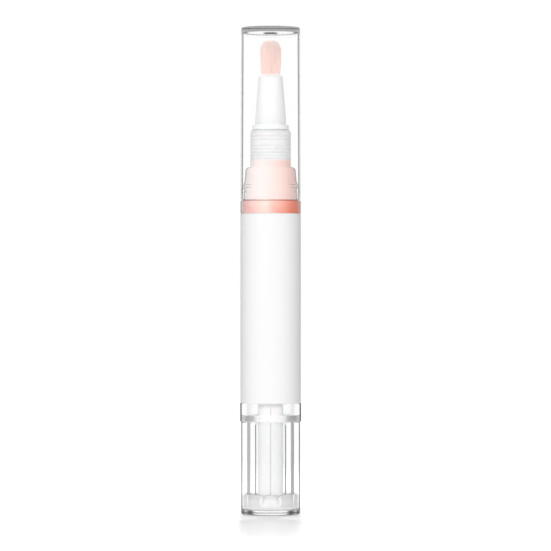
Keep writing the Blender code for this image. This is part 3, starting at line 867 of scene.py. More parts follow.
TUBE_HEAD = ClearPlastic("clear_tube_head", painted_lines=((0.48, 1.0), (0.56, 0.94)), rim=((0.9, 0.0), (1.0, 0.2)))
CLEAR_LENS = ClearPlastic(
    "clear_lens",
    painted_lines=(*LENS_SIDE, (0.5, 0.28), (0.6, 0.06), (1.0, 0.05)),
    rim=((0.18, 0.0), (0.25, 0.55), (0.34, 0.5), (0.45, 0.2), (0.6, 0.7), (1.0, 0.9)),
)
GROUND = GroundPlastic("ground_mouth")
FROSTED = FrostedPlastic("frosted_ring")
# The tabs carry painted shade above their crown.
TAB_FROSTED = FrostedPlastic("frosted_tab", body=0.83, cloud=0.89, crown=4.4)
# Lighter finish for the tabs' sides: a painted highlight.
TAB_EDGE_HIGHLIGHT = FrostedPlastic("frosted_tab_edge_highlight", body=0.88, cloud=0.92)
SEAT_FROSTED = FrostedPlastic("frosted_seat", level=101.0)
# Darker finish for the seat's grooves: painted shade in the creases.
GROOVE_SHADE = FrostedPlastic("frosted_groove_shade", body=0.71, cloud=0.76)
WHITE = WhitePlastic("white_satin", painted_edge_light=0.9)
# The stem turns paler near its top as painted light against the shade under the nut and label.
STEM_WHITE = WhitePlastic("white_stem", body=0.88, shade=0.86, seam_half=0.16, painted_light_above=29.6)
LABEL = LabelFilm("label_film")
LIQUID = PinkLiquid("pink_liquid")
FIBRE = BrushFibre("brush_fibre")
RUBBER = SealRubber("seal_rubber")


# Geometry node trees for what repeats


class GeometryTree(Nodes):
    """A geometry node tree with named inputs that ends as a plain mesh."""

    KINDS = {"Geometry": "Geometry", "Material": "Material", "Count": "Int", "Seed": "Int"}

    def __init__(self, name: str, *inputs: str) -> None:
        """Makes the tree and its sockets.

        Args:
            name: The tree's name.
            *inputs: Names of its numbers, of which Count and Seed are whole.
        """
        super().__init__(bpy.data.node_groups.new(name, "GeometryNodeTree"))
        face = self.tree.interface
        self.sockets = {}
        for key in ("Geometry", *inputs, "Material"):
            kind = "NodeSocket" + self.KINDS.get(key, "Float")
            self.sockets[key] = face.new_socket(name=key, in_out="INPUT", socket_type=kind).identifier
        face.new_socket(name="Geometry", in_out="OUTPUT", socket_type="NodeSocketGeometry")
        self.start = self.node("NodeGroupInput")
        self.end = self.node("NodeGroupOutput")

    def __getitem__(self, name: str) -> Socket:
        """Gives a named input."""
        return self.start.outputs[name]

    def up(self, height: Socket) -> Socket:
        """Turns a height into a vector along the pen's axis."""
        return self.node("ShaderNodeCombineXYZ", {"Z": height}).outputs[0]

    def circle(self, sides: int, radius: Socket) -> Socket:
        """Draws a round curve."""
        feeds = {"Resolution": sides, "Radius": radius}
        return self.node("GeometryNodeCurvePrimitiveCircle", feeds, mode="RADIUS").outputs[0]

    def swept(self, curve: Socket, section: Socket, **feeds: object) -> Socket:
        """Runs a section along a curve, with any more inputs of the node that are named."""
        named = {key.replace("_", " "): value for key, value in feeds.items()}
        return self.node("GeometryNodeCurveToMesh", {0: curve, 1: section, **named}).outputs[0]

    def copies(self, points: Socket, instance: Socket, turn: Socket | Triple = (0.0, 0.0, 0.0)) -> Socket:
        """Sets turned copies of an instance on points."""
        feeds = {"Points": points, "Instance": instance, "Rotation": turn}
        return self.node("GeometryNodeInstanceOnPoints", feeds).outputs[0]

    def close(self, geometry: Socket) -> None:
        """Realizes, smooths and dresses the geometry and sends it out.

        Args:
            geometry: What the tree has made.
        """
        real = self.node("GeometryNodeRealizeInstances", {"Geometry": geometry}).outputs[0]
        smooth = self.node("GeometryNodeSetShadeSmooth", {"Geometry": real}).outputs[0]
        dressed = self.node("GeometryNodeSetMaterial", {"Geometry": smooth, "Material": self["Material"]})
        self.feed(self.end.inputs["Geometry"], dressed.outputs[0])

    def grow(self, name: str, seed_mesh: bpy.types.Mesh, finish: Finish, **values: float) -> bpy.types.Mesh:
        """Runs the tree on a mesh.

        Args:
            name: The new mesh's name.
            seed_mesh: What the tree starts from.
            finish: What the tree dresses it with.
            **values: Input values by name, with underscores for spaces.

        Returns:
            A plain mesh.
        """
        carrier = bpy.data.objects.new(name + "_carrier", seed_mesh)
        bpy.context.scene.collection.objects.link(carrier)
        modifier = carrier.modifiers.new("grown", "NODES")
        modifier.node_group = self.tree
        for key, value in {**values, "Material": paint(finish)}.items():
            modifier[self.sockets[key.replace("_", " ")]] = value
        bpy.context.view_layer.update()
        graph = bpy.context.evaluated_depsgraph_get()
        mesh = bpy.data.meshes.new_from_object(carrier.evaluated_get(graph), depsgraph=graph)
        carrier.modifiers.remove(modifier)
        bpy.data.objects.remove(carrier, do_unlink=True)
        mesh.name = name
        return mesh


def copies_round_axis() -> GeometryTree:
    """Builds the tree that sets copies of a mesh evenly round the pen's axis.

    Returns:
        A tree with the inputs Count and Material.
    """
    tree = GeometryTree("copies_round_axis", "Count")
    feeds = {"Count": tree["Count"], "Offset": (0.0, 0.0, 0.0)}
    line = tree.node("GeometryNodeMeshLine", feeds, mode="OFFSET")
    share = tree.maths("DIVIDE", tree.node("GeometryNodeInputIndex").outputs[0], tree["Count"])
    turn = tree.up(tree.maths("MULTIPLY", share, math.tau))
    tree.close(tree.copies(line.outputs[0], tree["Geometry"], turn))
    return tree


def rings_up_axis(sides: int = 128, wire_sides: int = 8) -> GeometryTree:
    """Builds the tree that stacks fine round ribs up the pen's axis.

    Args:
        sides: Facets round the axis.
        wire_sides: Facets round a rib's own section.

    Returns:
        A tree with the inputs Count, Radius, Wire, Pitch, Foot and Material.
    """
    tree = GeometryTree("rings_up_axis", "Count", "Radius", "Wire", "Pitch", "Foot")
    rib = tree.swept(tree.circle(sides, tree["Radius"]), tree.circle(wire_sides, tree["Wire"]))
    foot, pitch = tree.up(tree["Foot"]), tree.up(tree["Pitch"])
    feeds = {"Count": tree["Count"], "Start Location": foot, "Offset": pitch}
    line = tree.node("GeometryNodeMeshLine", feeds, mode="OFFSET")
    tree.close(tree.copies(line.outputs[0], rib))
    return tree


def thread_round_rod(
    bottom: float = 1.5, top: float = 0.8, height: float = 0.9, steps: int = 40
) -> GeometryTree:
    """Builds the tree that winds a coarse thread round a rod.

    Args:
        bottom: Width of the ridge at its root, in millimetres.
        top: Width at its crest.
        height: Height of its section.
        steps: Facets in each turn.

    Returns:
        A tree with the inputs Turns, Radius, Height, Foot and Material.
    """
    tree = GeometryTree("thread_round_rod", "Turns", "Radius", "Height", "Foot")
    radius = tree["Radius"]
    feeds = {"Resolution": steps, "Reverse": False, "Rotations": tree["Turns"], "Height": tree["Height"]}
    spiral = tree.node("GeometryNodeCurveSpiral", {**feeds, "Start Radius": radius, "End Radius": radius})
    upright = tree.node("GeometryNodeSetCurveNormal", {0: spiral.outputs[0]}, mode="Z_UP")
    sizes = {"Bottom Width": bottom * MM, "Top Width": top * MM, "Height": height * MM, "Offset": 0.0}
    section = tree.node("GeometryNodeCurvePrimitiveQuadrilateral", sizes, mode="TRAPEZOID").outputs[0]
    turn = {"Geometry": section, "Rotation": (0.0, 0.0, math.pi / 2)}
    outward = tree.node("GeometryNodeTransform", turn).outputs[0]
    ridge = tree.swept(upright.outputs[0], outward, Fill_Caps=True)
    lifted = tree.node("GeometryNodeTransform", {"Geometry": ridge, "Translation": tree.up(tree["Foot"])})
    both = tree.node("GeometryNodeJoinGeometry", {0: lifted.outputs[0]})
    tree.feed(both.inputs[0], tree["Geometry"])
    tree.close(both.outputs[0])
    return tree


def tuft_of_strands(points: int = 9, sides: int = 4, densest: float = 4.0e8) -> GeometryTree:
    """Builds the tree that grows a bullet-shaped tuft from a round patch.

    A strand starts as a straight unit line on a random point of the patch. It is then stretched
    between the foot and its own tip, spread from the mouth up to the belly, and pinched a little
    above it. It sways by its own lot, and grows thinner at its end.

    Args:
        points: Points along a strand.
        sides: Facets round a strand.
        densest: Most strands to the square metre, before the spacing thins them out.

    Returns:
        A tree whose inputs are the tuft's sizes, in metres.
    """
    sway_depth, sway_by_lot, sway_by_rise = 0.022 * MM, 40.0, 5.0
    thinning, thinning_power = 0.7, 4.0
    heights = ("Foot", "Mouth", "Belly Height", "Tip")
    shape = ("Root Radius", "Belly Radius", "Drop", "Power", "Pinch", "Stray")
    tree = GeometryTree("tuft_of_strands", "Spacing", "Wire", *heights, *shape, "Seed")
    maths = tree.maths
    patch = {"Mesh": tree["Geometry"], "Seed": tree["Seed"]}
    density = {"Distance Min": tree["Spacing"], "Density Max": densest}
    kind = "GeometryNodeDistributePointsOnFaces"
    scatter = tree.node(kind, {**patch, **density}, distribute_method="POISSON")
    line = tree.node("GeometryNodeCurvePrimitiveLine", {"End": (0.0, 0.0, 1.0)}, mode="POINTS").outputs[0]
    many = tree.node("GeometryNodeResampleCurve", {"Count": points, "Curve": line}).outputs[0]
    chance = tree.node("FunctionNodeRandomValue", {"Seed": tree["Seed"]}, data_type="FLOAT")
    grown = tree.copies(scatter.outputs["Points"], many)
    mark = {"Name": "strand", "Geometry": grown, "Value": chance.outputs[1]}
    kind = "GeometryNodeStoreNamedAttribute"
    marked = tree.node(kind, mark, data_type="FLOAT", domain="INSTANCE")
    real = tree.node("GeometryNodeRealizeInstances", {0: marked.outputs[0]}).outputs[0]

    position = tree.node("GeometryNodeInputPosition").outputs[0]
    x, y, along = tree.node("ShaderNodeSeparateXYZ", {0: position}).outputs
    lot = tree.node("GeometryNodeInputNamedAttribute", {"Name": "strand"}, data_type="FLOAT").outputs[0]
    radius = maths("SQRT", maths("ADD", maths("MULTIPLY", x, x), maths("MULTIPLY", y, y)))
    edge = maths("POWER", maths("DIVIDE", radius, tree["Root Radius"]), tree["Power"])
    shorter = maths("SUBTRACT", tree["Tip"], maths("MULTIPLY", tree["Drop"], edge))
    tip = maths("SUBTRACT", shorter, maths("MULTIPLY", lot, tree["Stray"]))
    height = maths("ADD", tree["Foot"], maths("MULTIPLY", along, maths("SUBTRACT", tip, tree["Foot"])))
    shares = []
    for low, high in (("Mouth", "Belly Height"), ("Belly Height", "Tip")):
        run = maths("SUBTRACT", tree[high], tree[low])
        shares.append(maths("DIVIDE", maths("SUBTRACT", height, tree[low]), run, clamp=True))
    rise, above = shares
    gain = maths("SUBTRACT", maths("DIVIDE", tree["Belly Radius"], tree["Root Radius"]), 1.0)
    ease = maths("SINE", maths("MULTIPLY", rise, math.pi / 2))
    widen = maths("ADD", 1.0, maths("MULTIPLY", gain, ease))
    pinch = maths("SUBTRACT", 1.0, maths("MULTIPLY", tree["Pinch"], maths("MULTIPLY", above, above)))
    across = maths("MULTIPLY", widen, pinch)
    wave = maths("ADD", maths("MULTIPLY", lot, sway_by_lot), maths("MULTIPLY", along, sway_by_rise))
    sway = maths("MULTIPLY", maths("SINE", wave), sway_depth)
    moved = {
        "X": maths("ADD", maths("MULTIPLY", x, across), sway),
        "Y": maths("SUBTRACT", maths("MULTIPLY", y, across), sway),
        "Z": height,
    }
    place = tree.node("ShaderNodeCombineXYZ", moved).outputs[0]
    placed = tree.node("GeometryNodeSetPosition", {"Geometry": real, "Position": place}).outputs[0]
    factor = tree.node("GeometryNodeSplineParameter").outputs["Factor"]
    taper = maths("SUBTRACT", 1.0, maths("MULTIPLY", thinning, maths("POWER", factor, thinning_power)))
    tree.close(tree.swept(placed, tree.circle(sides, tree["Wire"]), Fill_Caps=True, Scale=taper))
    return tree


# Sub-assemblies of the pen


@dataclass(frozen=True)
class Band:
    """The faces between two heights and two radii, in millimetres, that have a finish of their own."""

    finish: Finish
    low: float
    high: float
    inner: float = 0.0
    outer: float = math.inf

    def holds(self, centre: Vector) -> bool:
        """Tells whether a face with this centre, in metres, is in the band."""
        radius = math.hypot(centre.x, centre.y) / MM
        return self.low <= centre.z / MM <= self.high and self.inner <= radius <= self.outer


@dataclass(frozen=True)
class Sides:
    """The faces near both sides of tabs that stand evenly round the axis."""

    finish: Finish
    half_pitch: float
    half: float

    def holds(self, centre: Vector) -> bool:
        """Tells whether a face with this centre is near a tab's side."""
        turn = math.atan2(centre.y, centre.x) % (2 * self.half_pitch)
        return abs(turn - self.half_pitch) > self.half


class SubAssembly:
    """Base of the pen's sub-assemblies."""

    title = "piece"

    def build(self) -> None:
        """Builds and dresses the pieces."""
        raise NotImplementedError

    def piece(
        self,
        mesh: bpy.types.Mesh,
        body: Body,
        finish: Finish,
        *nodes: str,
        bands: Sequence[Band | Sides] = (),
    ) -> bpy.types.Object:
        """Links a mesh as a finished piece that rides on a body and has the mesh's name.

        Args:
            mesh: Its mesh, in place and in metres.
            body: The body it rides on.
            finish: Its finish.
            *nodes: The CAD nodes it stands for.
            bands: Faces that have another finish, where a later band goes over an earlier one.

        Returns:
            The piece.
        """
        finishes = list(dict.fromkeys((finish, *(band.finish for band in bands))))
        mesh.materials.clear()
        for each in finishes:
            mesh.materials.append(paint(each))
        for face in mesh.polygons:
            worn = [band.finish for band in bands if band.holds(face.center)]
            face.material_index = finishes.index(worn[-1]) if worn else 0
        made = bpy.data.objects.new(mesh.name, mesh)
        bpy.context.scene.collection.objects.link(made)
        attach(made, body.value)
        if nodes:
            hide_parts(*nodes)
        LOG.info("%s: %s, %d faces, rides on %s", self.title, made.name, len(mesh.polygons), body.value)
        return made


@dataclass
class Cap(SubAssembly):
    """Clear push-on cap."""

    title = "cap"
    foot_z: float = 89.8
    top_z: float = 139.0
    mouth_r: float = 8.6
    top_r: float = 8.4
    mouth_bore_r: float = 8.08
    top_bore_r: float = 7.66
    ceiling_z: float = 137.45
    ceiling_corner: float = 0.2
    shoulder: float = 0.42
    snap_z: float = 92.3
    snap_r: float = 8.0
    snap_half: float = 0.1
    snap_foot: float = 0.5
    gate_r: float = 2.3
    gate_drop: float = 0.42
    gate_slope: float = 0.9
    gate_bulge: float = 0.02
    edge: float = 0.2

    def corners(self) -> Corners:
        """Draws the cap's wall, ceiling, gate mark and snap ring.

        Returns:
            The outline's corners.
        """
        wall_r, gate_z = self.top_r + 0.01, self.ceiling_z - self.gate_drop
        return (
            (0.0, self.top_z),
            (self.top_r, self.top_z, 0.18),
            (wall_r, self.ceiling_z),
            (wall_r, self.ceiling_z - self.shoulder),
            (self.mouth_r, self.foot_z, 0.12),
            (self.mouth_bore_r, self.foot_z, 0.12),
            (self.mouth_bore_r, self.snap_z - self.snap_foot, 0.3),
            (self.snap_r, self.snap_z - self.snap_half, 0.3),
            (self.snap_r, self.snap_z + self.snap_half, 0.3),
            (self.mouth_bore_r, self.snap_z + self.snap_foot, 0.3),
            (self.top_bore_r, self.ceiling_z, self.ceiling_corner),
            (self.gate_r, self.ceiling_z, 0.05),
            (self.gate_r - self.gate_slope, gate_z, 0.15),
            (0.0, gate_z - self.gate_bulge),
        )

    def bands(self) -> list[Band]:
        """Marks the bore, the roof, the shoulder and the gate mark, which catch the light in other ways.

        Returns:
            The bands, with a little room on each side.
        """
        roof, top = self.ceiling_z, self.top_z
        edge_r, bore_r = self.top_r - self.edge, self.top_bore_r
        return [
            Band(CLEAR_INNER, self.foot_z, roof, outer=self.mouth_bore_r + 0.02),
            Band(CLEAR_INNER, top - 0.01, top + 0.01, outer=edge_r),
            Band(CAP_BAND, roof + 0.1, top + 0.01, edge_r),
            Band(CAP_SHOULDER, roof - self.shoulder, roof, edge_r),
            Band(CAP_CORNER, roof - self.ceiling_corner, roof - 0.002, bore_r - 0.25, bore_r + 0.1),
            Band(GATE, roof - self.gate_drop + 0.01, roof - 0.005, outer=self.gate_r + 0.05),
        ]

    def build(self) -> None:
        """Builds the cap."""
        mesh = turned("cap_shell", self.corners(), FINE_SEGMENTS, steps=8)
        self.piece(mesh, Body.CAP, CAP_OUTER, "cap", bands=self.bands())


@dataclass
class BrushHead(SubAssembly):
    """Pink tuft, white cone and feed tube."""

    title = "brush head"
    cone_z: float = 109.82
    flange_r: float = 5.24
    flange_top_z: float = 111.1
    cone_foot_r: float = 4.5
    cone_top_r: float = 3.43
    cone_top_z: float = 125.1
    undercut: float = 0.12
    undercut_low: float = 0.32
    undercut_high: float = 0.4
    spigot_bore_r: float = 2.4
    spigot_bore_z: float = 114.1
    channel_r: float = 1.2
    socket_r: float = 2.6
    socket_z: float = 120.0
    mouth_flare: float = 0.2
    mouth_depth: float = 1.1
    back_r: float = 2.38
    back_top_z: float = 121.3
    back_drop: float = 0.05
    tuft_foot_z: float = 120.25
    tuft_root_r: float = 2.45
    tuft_belly_r: float = 2.97
    tuft_belly_z: float = 130.6
    tuft_tip_z: float = 135.3
    tuft_drop: float = 2.1
    strand_gap: float = 0.072
    strand_r: float = 0.05
    stray: float = 0.12
    feed_r: float = 1.0
    feed_bore_r: float = 0.6
    feed_low: float = 108.0
    feed_top: float = 119.8

    def cone(self) -> Corners:
        """Draws the cone with its flange and its sockets.

        Returns:
            The outline's corners.
        """
        neck_r = self.cone_foot_r - self.undercut
        return (
            (self.cone_top_r, self.cone_top_z, 0.22),
            (self.cone_foot_r, self.flange_top_z + self.undercut_high),
            (neck_r, self.flange_top_z + self.undercut_low),
            (neck_r, self.flange_top_z, 0.06),
            (self.flange_r, self.flange_top_z, 0.14),
            (self.flange_r, self.cone_z, 0.08),
            (self.spigot_bore_r, self.cone_z, 0.1),
            (self.spigot_bore_r, self.spigot_bore_z, 0.1),
            (self.channel_r, self.spigot_bore_z, 0.1),
            (self.channel_r, self.socket_z, 0.1),
            (self.socket_r, self.socket_z, 0.15),
            (self.socket_r, self.cone_top_z - self.mouth_depth, 0.3),
            (self.socket_r + self.mouth_flare, self.cone_top_z, 0.1),
        )

    def tuft(self) -> bpy.types.Mesh:
        """Grows the tuft.

        Returns:
            The strands as one mesh.
        """
        bm = bmesh.new()
        bmesh.ops.create_circle(bm, cap_ends=True, segments=COARSE_SEGMENTS, radius=self.tuft_root_r * MM)
        return tuft_of_strands().grow(
            "brush_tuft",
            mesh_of("tuft_patch", bm),
            FIBRE,
            Spacing=self.strand_gap * MM,
            Wire=self.strand_r * MM,
            Foot=self.tuft_foot_z * MM,
            Mouth=(self.cone_top_z - 1.2) * MM,
            Belly_Height=self.tuft_belly_z * MM,
            Tip=self.tuft_tip_z * MM,
            Root_Radius=self.tuft_root_r * MM,
            Belly_Radius=self.tuft_belly_r * MM,
            Drop=self.tuft_drop * MM,
            Power=5.0,
            Pinch=0.02,
            Stray=self.stray * MM,
            Seed=7,
        )

    def build(self) -> None:
        """Builds the tuft, its backing, the cone and the feed tube."""
        top, foot, back_r = self.back_top_z, self.tuft_foot_z - self.back_drop, self.back_r
        back = ((0.0, top), (back_r, top, 0.1), (back_r, foot, 0.1), (0.0, foot))
        feed = (
            (self.feed_r, self.feed_top, 0.08),
            (self.feed_r, self.feed_low, 0.08),
            (self.feed_bore_r, self.feed_low, 0.05),
            (self.feed_bore_r, self.feed_top, 0.05),
        )
        self.piece(self.tuft(), Body.BARREL, FIBRE, "brush_bristles")
        self.piece(turned("tuft_backing", back, 64), Body.BARREL, FIBRE)
        self.piece(turned("brush_cone", self.cone()), Body.BARREL, WHITE, "brush_ferrule")
        self.piece(turned("feed_pipe", feed, 48), Body.BARREL, WHITE, "feed_tube")


@dataclass
class Seat(SubAssembly):
    """Frosted plug between the cone and the neck."""

    title = "seat"
    outer_r: float = 5.8
    plug_r: float = 6.02
    plug_top_z: float = 99.0
    foot_z: float = 89.75
    top_z: float = 109.8
    bore_r: float = 4.95
    ceiling_z: float = 107.5
    channel_r: float = 1.2
    spigot_r: float = 2.2
    spigot_z: float = 113.8
    groove_z: tuple[float, ...] = (107.9, 106.9, 105.2, 104.2, 103.2, 102.35, 101.45)
    groove_depth: float = 0.08
    groove_half: float = 0.09
    rib_foot_z: float = 99.4
    rib_pitch: float = 0.45
    rib_count: int = 4
    rib_wire: float = 0.06
    rib_sunk: float = 0.035

    def corners(self) -> Corners:
        """Draws the seat from its nozzle down to its plug, with the fine grooves round its side.

        Returns:
            The outline's corners.
        """
        half, deep_r = self.groove_half, self.outer_r - self.groove_depth
        steps = ((self.outer_r, 2 * half), (deep_r, half), (deep_r, -half), (self.outer_r, -2 * half))
        return (
            (self.spigot_r, self.spigot_z, 0.25),
            (self.spigot_r, self.top_z, 0.15),
            (self.outer_r, self.top_z, 1.0),
            *((r, z + rise, 0.04) for z in self.groove_z for r, rise in steps),
            (self.outer_r, self.plug_top_z, 0.05),
            (self.plug_r, self.plug_top_z, 0.05),
            (self.plug_r, self.foot_z, 0.3),
            (self.bore_r, self.foot_z, 0.1),
            (self.bore_r, self.ceiling_z, 0.4),
            (self.channel_r, self.ceiling_z, 0.1),
            (self.channel_r, self.spigot_z, 0.1),
        )

    def build(self) -> None:
        """Builds the seat and its fine rings."""
        rings = rings_up_axis().grow(
            "seat_rings",
            bpy.data.meshes.new("seat_rings_seed"),
            SEAT_FROSTED,
            Count=self.rib_count,
            Radius=(self.outer_r - self.rib_sunk) * MM,
            Wire=self.rib_wire * MM,
            Pitch=self.rib_pitch * MM,
            Foot=self.rib_foot_z * MM,
        )
        body = turned("seat_body", self.corners())
        reach, deep_r, shallow_r = 1.9 * self.groove_half, self.outer_r - 0.3, self.outer_r - 0.02
        # The grooves get a darker finish as painted shade.
        grooves = [Band(GROOVE_SHADE, z - reach, z + reach, deep_r, shallow_r) for z in self.groove_z]
        self.piece(body, Body.BARREL, SEAT_FROSTED, "brush_seat", bands=grooves)
        self.piece(rings, Body.BARREL, SEAT_FROSTED)


@dataclass
class Barrel(SubAssembly):
    """Clear barrel with its wrapped label and the tube that the knob turns on."""

    title = "barrel"
    r: float = 8.65
    foot_z: float = 26.42
    bore_r: float = 6.75
    bore_top_z: float = 85.8
    mouth_r: float = 7.9
    mouth_z: float = 28.2
    recess_r: float = 8.4
    recess_low: float = 31.6
    recess_high: float = 85.95
    band_z: float = 89.6
    neck_r: float = 7.75
    neck_foot_r: float = 7.62
    neck_top_r: float = 7.1
    neck_z: float = 99.1
    neck_bore_r: float = 6.0
    neck_bore_z: float = 87.8
    waist_r: float = 7.5
    bead_r: float = 7.9
    bead_z: float = 93.6
    bead_half: float = 0.38
    bead_rise: float = 1.4
    bead_fall: float = 1.2
    collar_fall: float = 1.9
    wrap_r: float = 8.42
    film: float = 0.21
    film_soft: float = 0.04
    film_gap: float = 0.12
    film_columns: int = 180
    seam_deg: float = 1.2
    tube_r: float = 6.7
    tube_bore_r: float = 5.77
    tube_low: float = 3.2
    tube_head: float = 27.6
    tube_top: float = 36.0
    rib_count: int = 20
    rib: Tab = Tab(6.6, 6.78, 3.6, 6.3, 2.2, 0.4, 0.05)

    def corners(self) -> Corners:
        """Draws the barrel's outer side and its bore.

        Returns:
            The outline's corners.
        """
        return (
            (self.neck_top_r, self.neck_z, 1.1),
            (self.waist_r, self.bead_z + self.bead_rise, 0.4),
            (self.bead_r, self.bead_z + self.bead_half, 0.3),
            (self.bead_r, self.bead_z - self.bead_half, 0.3),
            (self.neck_foot_r, self.bead_z - self.bead_fall, 0.4),
            (self.neck_r, self.bead_z - self.collar_fall, 0.4),
            (self.neck_r, self.band_z, 0.15),
            (self.r, self.band_z, 0.24),
            (self.r, self.recess_high, 0.04),
            (self.recess_r, self.recess_high, 0.04),
            (self.recess_r, self.recess_low, 0.04),
            (self.r, self.recess_low, 0.04),
            (self.r, self.mouth_z + 0.1),
            (self.r, self.foot_z, 0.22),
            (self.mouth_r, self.foot_z, 0.06),
            (self.bore_r, self.mouth_z, 0.15),
            (self.bore_r, self.bore_top_z, 0.6),
            (self.neck_bore_r, self.neck_bore_z, 0.6),
            (self.neck_bore_r, self.neck_z, 0.12),
        )

    def bands(self) -> list[Band]:
        """Marks the bore, the mouth, the neck, the collar, the bead's edges and the clear lower end.

        Returns:
            The bands, with a little room on each side.
        """
        bead, rim_r, skirt_r = self.bead_z, self.bead_r - 0.5, self.r - 0.05
        low, high = self.foot_z + 0.1, self.mouth_z + 0.1
        return [
            Band(CLEAR_INNER, self.mouth_z, self.neck_z, outer=self.bore_r + 0.02),
            Band(GROUND, low, high, self.bore_r - 0.1, self.mouth_r - 0.05),
            Band(NECK_OUTER, self.band_z - 0.05, self.neck_z + 0.05, self.bore_r),
            Band(COLLAR_OUTER, self.recess_high, self.band_z - 0.05, self.recess_r),
            Band(BEAD_EDGE, bead + 0.22, bead + 0.5, rim_r),
            Band(BEAD_EDGE, bead - 0.5, bead - 0.22, rim_r),
            Band(BAND_EDGE, self.band_z - 0.24, self.band_z + 0.01, self.r - 0.3),
            Band(BARREL_SKIRT, self.mouth_z, self.recess_low, skirt_r),
            Band(BARREL_FOOT, self.foot_z + 0.2, self.mouth_z, skirt_r),
        ]

    def label(self) -> bpy.types.Mesh:
        """Wraps the film round the recess, with its ends together at the back.

        Returns:
            The film as one closed mesh.
        """
        low, high = self.recess_low + self.film_gap, self.recess_high - self.film_gap
        inner, outer, soft = self.wrap_r, self.wrap_r + self.film, self.film_soft
        head = ((outer - soft, high), (outer, high - soft))
        section = (*head, (outer, low + soft), (outer - soft, low), (inner, low), (inner, high))
        gap = math.radians(self.seam_deg)
        start, turn = (math.pi + gap) / 2, (math.tau - gap) / self.film_columns
        sections = [(start + turn * i, section) for i in range(self.film_columns + 1)]
        return mesh_of("label_wrap", strip_of(sections))

    def build(self) -> None:
        """Builds the barrel, its label, the clear tube below it and the tube's click ribs."""
        tube = (
            (self.tube_r, self.tube_top, 0.15),
            (self.tube_r, self.tube_head),
            (self.tube_r, self.tube_low, 0.25),
            (self.tube_bore_r, self.tube_low, 0.1),
            (self.tube_bore_r, self.tube_top, 0.1),
        )
        tube_bands = (
            Band(TUBE_HEAD, self.tube_head + 0.2, self.tube_top + 0.1),
            Band(CLEAR_INNER, self.tube_low - 0.2, self.tube_top + 0.1, outer=self.tube_bore_r + 0.08),
        )
        seed = mesh_of("click_rib_seed", self.rib.block())
        shell = turned("barrel_shell", self.corners(), FINE_SEGMENTS)
        self.piece(shell, Body.BARREL, BARREL_OUTER, "barrel", bands=self.bands())
        self.piece(self.label(), Body.BARREL, LABEL, "label")
        self.piece(turned("tail_tube", tube), Body.BARREL, CLEAR_TUBE, "tail_housing", bands=tube_bands)
        ribs = copies_round_axis().grow("click_ribs", seed, CLEAR_TUBE, Count=self.rib_count)
        self.piece(ribs, Body.BARREL, CLEAR_TUBE)


@dataclass
class Liquid(SubAssembly):
    """Pink liquid in the seat, the neck and the bore."""

    title = "liquid"
    level_z: float = 101.0
    dip: float = 0.2
    seat_r: float = 4.9
    seat_z: float = 89.65
    neck_r: float = 6.02
    neck_z: float = 87.8
    bore_r: float = 6.77
    bore_z: float = 85.8
    split_z: float = 84.0
    split_gap: float = 0.02
    squash_drop: float = 0.1
    column_z: float = 52.3
    stroke: float = 30.0

    def build(self) -> None:
        """Builds the column that the piston shortens, and the still liquid in the seat, neck and shoulder."""
        top_z, squash_z = self.split_z - self.split_gap, self.split_z - self.squash_drop
        bore = (
            (0.0, top_z),
            (self.bore_r, top_z, 0.02),
            (self.bore_r, self.column_z, 0.02),
            (0.0, self.column_z),
        )
        neck = (
            (0.0, self.level_z - self.dip),
            (self.seat_r, self.level_z, 0.4),
            (self.seat_r, self.seat_z, 0.1),
            (self.neck_r, self.seat_z, 0.1),
            (self.neck_r, self.neck_z, 0.6),
            (self.bore_r, self.bore_z, 0.6),
            (self.bore_r, self.split_z, 0.02),
            (0.0, self.split_z),
        )
        column = self.piece(turned("liquid_column", bore), Body.BARREL, LIQUID, "fluid_column")
        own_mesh(column)
        self.piece(turned("liquid_neck", neck), Body.BARREL, LIQUID, "fluid_neck")


@dataclass
class Plunger(SubAssembly):
    """Piston with its seal ring."""

    title = "plunger"
    low_z: float = 43.9
    top_z: float = 52.1
    r: float = 6.4
    lip_r: float = 6.68
    dish: float = 0.3
    dish_rim: float = 1.1
    lip_edge: float = 0.2
    lip_depth: float = 1.4
    foot_edge: float = 0.3
    foot_depth: float = 1.3
    socket_r: float = 2.6
    socket_z: float = 48.2
    groove_r: float = 5.62
    groove_half: float = 0.65
    ring_z: float = 48.4
    ring_r: float = 6.2
    ring_wire: float = 0.48

    def corners(self) -> Corners:
        """Draws the piston with its lips, groove and socket.

        Returns:
            The outline's corners.
        """
        high, low = self.ring_z + self.groove_half, self.ring_z - self.groove_half
        return (
            (0.0, self.top_z - self.dish),
            (self.lip_r - self.dish_rim, self.top_z - self.dish, 0.3),
            (self.lip_r - self.lip_edge, self.top_z, 0.1),
            (self.lip_r, self.top_z - self.lip_edge, 0.08),
            (self.r, self.top_z - self.lip_depth, 0.3),
            (self.r, high, 0.08),
            (self.groove_r, high, 0.08),
            (self.groove_r, low, 0.08),
            (self.r, low, 0.08),
            (self.r, self.low_z + self.foot_depth, 0.3),
            (self.lip_r, self.low_z + self.lip_edge, 0.08),
            (self.lip_r - self.foot_edge, self.low_z, 0.08),
            (self.socket_r, self.low_z, 0.2),
            (self.socket_r, self.socket_z, 0.3),
            (0.0, self.socket_z),
        )

    def build(self) -> None:
        """Builds the piston and its ring."""
        ring = rings_up_axis().grow(
            "seal_ring",
            bpy.data.meshes.new("seal_ring_seed"),
            RUBBER,
            Count=1,
            Radius=self.ring_r * MM,
            Wire=self.ring_wire * MM,
            Pitch=MM,
            Foot=self.ring_z * MM,
        )
        self.piece(turned("piston_body", self.corners(), COARSE_SEGMENTS), Body.PISTON, WHITE, "piston")
        self.piece(ring, Body.PISTON, RUBBER, "piston_ring")


